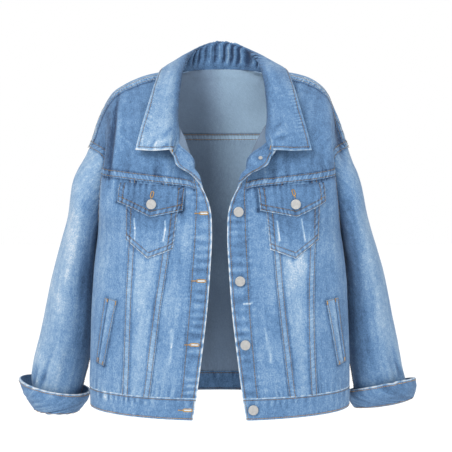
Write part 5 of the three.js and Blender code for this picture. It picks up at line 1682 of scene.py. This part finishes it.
def make_welt(side, tag, seed):
    shift = WELT_SHIFT[side]
    cut = lying_cut(WELT, PATCH_CLOTH, lambda f: np.full_like(f, LIE_GAP), side, 18, 60, shift)
    cut.free_edge("near", worn=0.2, width=1.2)
    cut.free_edge("far", worn=0.2, width=1.2)
    wide = cut.near + cut.far
    # The slit sunk in, with painted shade in it
    slit = np.exp(-((cut.near - 0.70 * wide) / 1.2) ** 2)
    cut.raise_by(-0.9 * slit, 0.0, -0.42 * slit)
    cut.raise_by(0, 0.16 * np.exp(-((cut.near - 0.48 * wide) / (0.16 * wide + 0.5)) ** 2))
    cut.finish()
    cloth_piece(f"welt_cloth_{tag}", cut, f"welt_{tag}", "denim", inside="washed_denim")
    for edge in ("near", "far", "low", "high"):
        sew_rows("pockets", cut, edge, [WELT_ROW], 1, 1)
    name = f"welt_cloth_{tag}"
    for inner, outer in (("topInner", "topOuter"), ("lowInner", "lowOuter")):
        for corner, inward in ((WELT[inner], 1.0), (WELT[outer], -1.0)):
            x = side * (corner[0] + shift + inward * 2.4)
            z = corner[1] + (-2.0 if inner == "topInner" else 7.0)
            sew_bar("tacks", name, (x, z), (x, z - 5.0))


def make_holes():
    for side, tag in SIDES:
        for start, end in HOLES[side]:
            sew_buttonhole(f"placket_cloth_{tag}", start, end)
        sew_buttonhole(f"flap_cloth_{tag}", *FLAP_HOLES[side])
    for start, end in BAND_HOLES:
        sew_buttonhole("waistband_cloth", start, end)


def make_stitches():
    sewing = bpy.context.scene.jacket_sewing
    points, faces = stitch_shape()
    shape = mesh_object("one_stitch", points, faces, [])
    stitch_tree()
    size = (sewing.pitch * 0.86, sewing.thickness, sewing.thickness * 0.8)
    close = (sewing.bar * 0.8, sewing.thickness * 0.85, sewing.thickness * 0.6)
    for seed, (group, rows) in enumerate(sorted(ROWS.items())):
        if group in ("buttonholes", "tacks"):
            stitched_piece(f"stitches_{group}", rows, "thread_orange", CLOSE_PITCH, close, np.pi / 2, seed)
        else:
            dye = "thread_orange" if group in ("cuffs", "hem", "inside") else "thread_tan"
            stitched_piece(f"stitches_{group}", rows, dye, sewing.pitch, size, seed=seed)
    bpy.data.objects.remove(shape)


# Buttons
def lathe(profile, sides):
    """A turned piece about +Z from a profile of radius and height; its ends lie on the axis."""
    angle = np.arange(sides) * 2 * np.pi / sides
    points = [(0, 0, profile[0][1])]
    for radius, height in profile[1:-1]:
        points += [(radius * np.cos(a), radius * np.sin(a), height) for a in angle]
    points.append((0, 0, profile[-1][1]))
    faces = []
    last = len(points) - 1
    rings = len(profile) - 2
    for k in range(sides):
        n = (k + 1) % sides
        faces.append((0, 1 + n, 1 + k))
        for ring in range(rings - 1):
            a, b = 1 + ring * sides, 1 + (ring + 1) * sides
            faces += [(a + k, a + n, b + n), (a + k, b + n, b + k)]
        top = 1 + (rings - 1) * sides
        faces.append((last, top + k, top + n))
    return np.array(points, float), np.array(faces)


BUTTON_PROFILE = [(0, 0), (3.0, 0), (3.0, 2.0), (6.6, 2.2), (7.6, 2.6), (8.0, 3.3), (7.9, 4.0), (7.5, 4.45),
                  (7.0, 4.6), (6.6, 4.52), (6.2, 4.5), (3.0, 4.68), (0, 4.72)]
TACK_PROFILE = [(0, 0), (3.2, 0), (3.2, 0.7), (2.7, 1.3), (1.7, 1.6), (0, 1.6)]


def make_buttons():
    for node in sorted(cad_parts):
        if node.startswith("button"):
            make_fastener(node, BUTTON_PROFILE)
        elif node == "neck_tack":
            make_fastener(node, TACK_PROFILE)


def make_fastener(node, profile):
    """A finer lathe-turned piece just where its CAD node lies."""
    vertices = np.array([v.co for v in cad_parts[node].data.vertices], float) / MM
    centre = vertices.mean(axis=0)
    _, _, axes = np.linalg.svd(vertices - centre, full_matrices=False)
    axis = axes[2]
    if node != "neck_tack" and axis[1] > 0:
        axis = -axis
    run = (vertices - centre) @ axis
    wide = np.linalg.norm((vertices - centre) - run[:, None] * axis, axis=1)
    if wide[run > run.mean()].max() < wide[run < run.mean()].max() - 0.01 and node != "neck_tack":
        axis, run = -axis, -run
    foot = centre + axis * run.min()
    side = unit(np.cross(axis, [0, 0, 1]))
    other = np.cross(axis, side)
    points, faces = lathe(profile, bpy.context.scene.jacket_buttons.sides)
    points = foot + points[:, :1] * side + points[:, 1:2] * -other + points[:, 2:] * axis
    piece = mesh_object(f"{node}_metal", points, faces, ["dull_silver"], sharp=0.7)
    finish_piece(piece, "button_metal", node)


# Stage
def make_stage():
    scene = bpy.context.scene
    stage_material = Nodes("pale_paper")
    stage_material.shader.inputs["Base Color"].default_value = (0.9, 0.9, 0.9, 1)
    stage_material.shader.inputs["Emission Color"].default_value = (1, 1, 1, 1)
    stage_material.shader.inputs["Emission Strength"].default_value = 0.15
    stage_material.shader.inputs["Roughness"].default_value = 0.9
    stage_material.shader.inputs["Specular IOR Level"].default_value = 0.1
    mesh = bpy.data.meshes.new("floor")
    half, low = 30.0, -0.95
    mesh.from_pydata([(-half, -half, low), (half, -half, low), (half, half, low), (-half, half, low)], [],
                     [(0, 1, 2, 3)])
    mesh.materials.append(stage_material.material)
    floor = bpy.data.objects.new("floor", mesh)
    scene.collection.objects.link(floor)
    world = bpy.data.worlds.new("studio")
    world.use_nodes = True
    world.node_tree.nodes["Background"].inputs["Color"].default_value = (1, 1, 1, 1)
    world.node_tree.nodes["Background"].inputs["Strength"].default_value = 1.0
    scene.world = world
    scene.view_settings.view_transform = "Standard"
    for name, place, aim, size, power in (("key", (-1.2, -2.3, 1.3), (0, 0, -0.25), 1.0, 64),
                                          ("fill", (1.8, -2.4, 0.3), (0, 0, -0.3), 1.6, 22)):
        light = bpy.data.lights.new(name, "AREA")
        light.energy = power
        light.size = size
        lamp = bpy.data.objects.new(name, light)
        lamp.location = place
        lamp.rotation_euler = (Vector(aim) - Vector(place)).to_track_quat("-Z", "Y").to_euler()
        scene.collection.objects.link(lamp)
    camera = bpy.data.cameras.new("photo")
    camera.sensor_width = 36
    camera.lens = 70.3
    view = bpy.data.objects.new("photo", camera)
    view.location = (0.0102, -1.5, -0.262)
    view.rotation_euler = (np.pi / 2, 0, 0)
    scene.collection.objects.link(view)
    scene.camera = view


# Operators, one for each group of pieces
def operator(name, label, doc, make):
    def execute(self, context):
        make()
        return {"FINISHED"}

    return type(name, (Operator,), {"bl_idname": "jacket." + name.split("_OT_")[1], "bl_label": label,
                                    "__doc__": doc, "execute": execute})


OPERATORS = [
    operator("JACKET_OT_materials", "Materials", "Makes the denim, thread and metal", make_materials),
    operator("JACKET_OT_fronts", "Fronts", "Cuts the plackets, front panels and front yokes", make_fronts),
    operator("JACKET_OT_back", "Back", "Cuts the back panels and the back yoke", make_back),
    operator("JACKET_OT_waistband", "Waistband", "Cuts the waistband", make_waistband),
    operator("JACKET_OT_sleeves", "Sleeves", "Cuts the sleeves and their turned-up cuffs", make_sleeves),
    operator("JACKET_OT_collar", "Collar", "Cuts the turned-down collar", make_collar),
    operator("JACKET_OT_pockets", "Pockets", "Lays the pockets, flaps and welts on the fronts", make_pockets),
    operator("JACKET_OT_holes", "Buttonholes", "Sews round the buttonholes", make_holes),
    operator("JACKET_OT_stitches", "Stitches", "Sews the rows of stitches", make_stitches),
    operator("JACKET_OT_buttons", "Buttons", "Turns the metal buttons and the rivet", make_buttons),
    operator("JACKET_OT_stage", "Stage", "Sets the floor, the light and the camera", make_stage),
]


class JACKET_PT_sidebar(SidebarPanel):
    """Lists the jacket's settings and its makers"""
    bl_label = "Denim jacket"
    bl_idname = "JACKET_PT_sidebar"
    bl_space_type = "VIEW_3D"
    bl_region_type = "UI"
    bl_category = "Jacket"

    def draw(self, context):
        for group in (context.scene.jacket_cloth, context.scene.jacket_sewing, context.scene.jacket_buttons):
            for key in group.bl_rna.properties.keys():
                if key not in ("rna_type", "name"):
                    self.layout.prop(group, key)
        for made in OPERATORS:
            self.layout.operator(made.bl_idname)


SETTINGS = {"jacket_cloth": JacketCloth, "jacket_sewing": JacketSewing, "jacket_buttons": JacketButtons}
CLASSES = [*SETTINGS.values(), *OPERATORS, JACKET_PT_sidebar]


def register():
    for made in CLASSES:
        bpy.utils.register_class(made)
    for name, group in SETTINGS.items():
        setattr(bpy.types.Scene, name, PointerProperty(type=group))


def unregister():
    for name in SETTINGS:
        delattr(bpy.types.Scene, name)
    for made in reversed(CLASSES):
        bpy.utils.unregister_class(made)


def main():
    register()
    for made in OPERATORS:
        _, step = made.bl_idname.split(".")
        getattr(bpy.ops.jacket, step)()


if __name__ == "__main__":
    main()
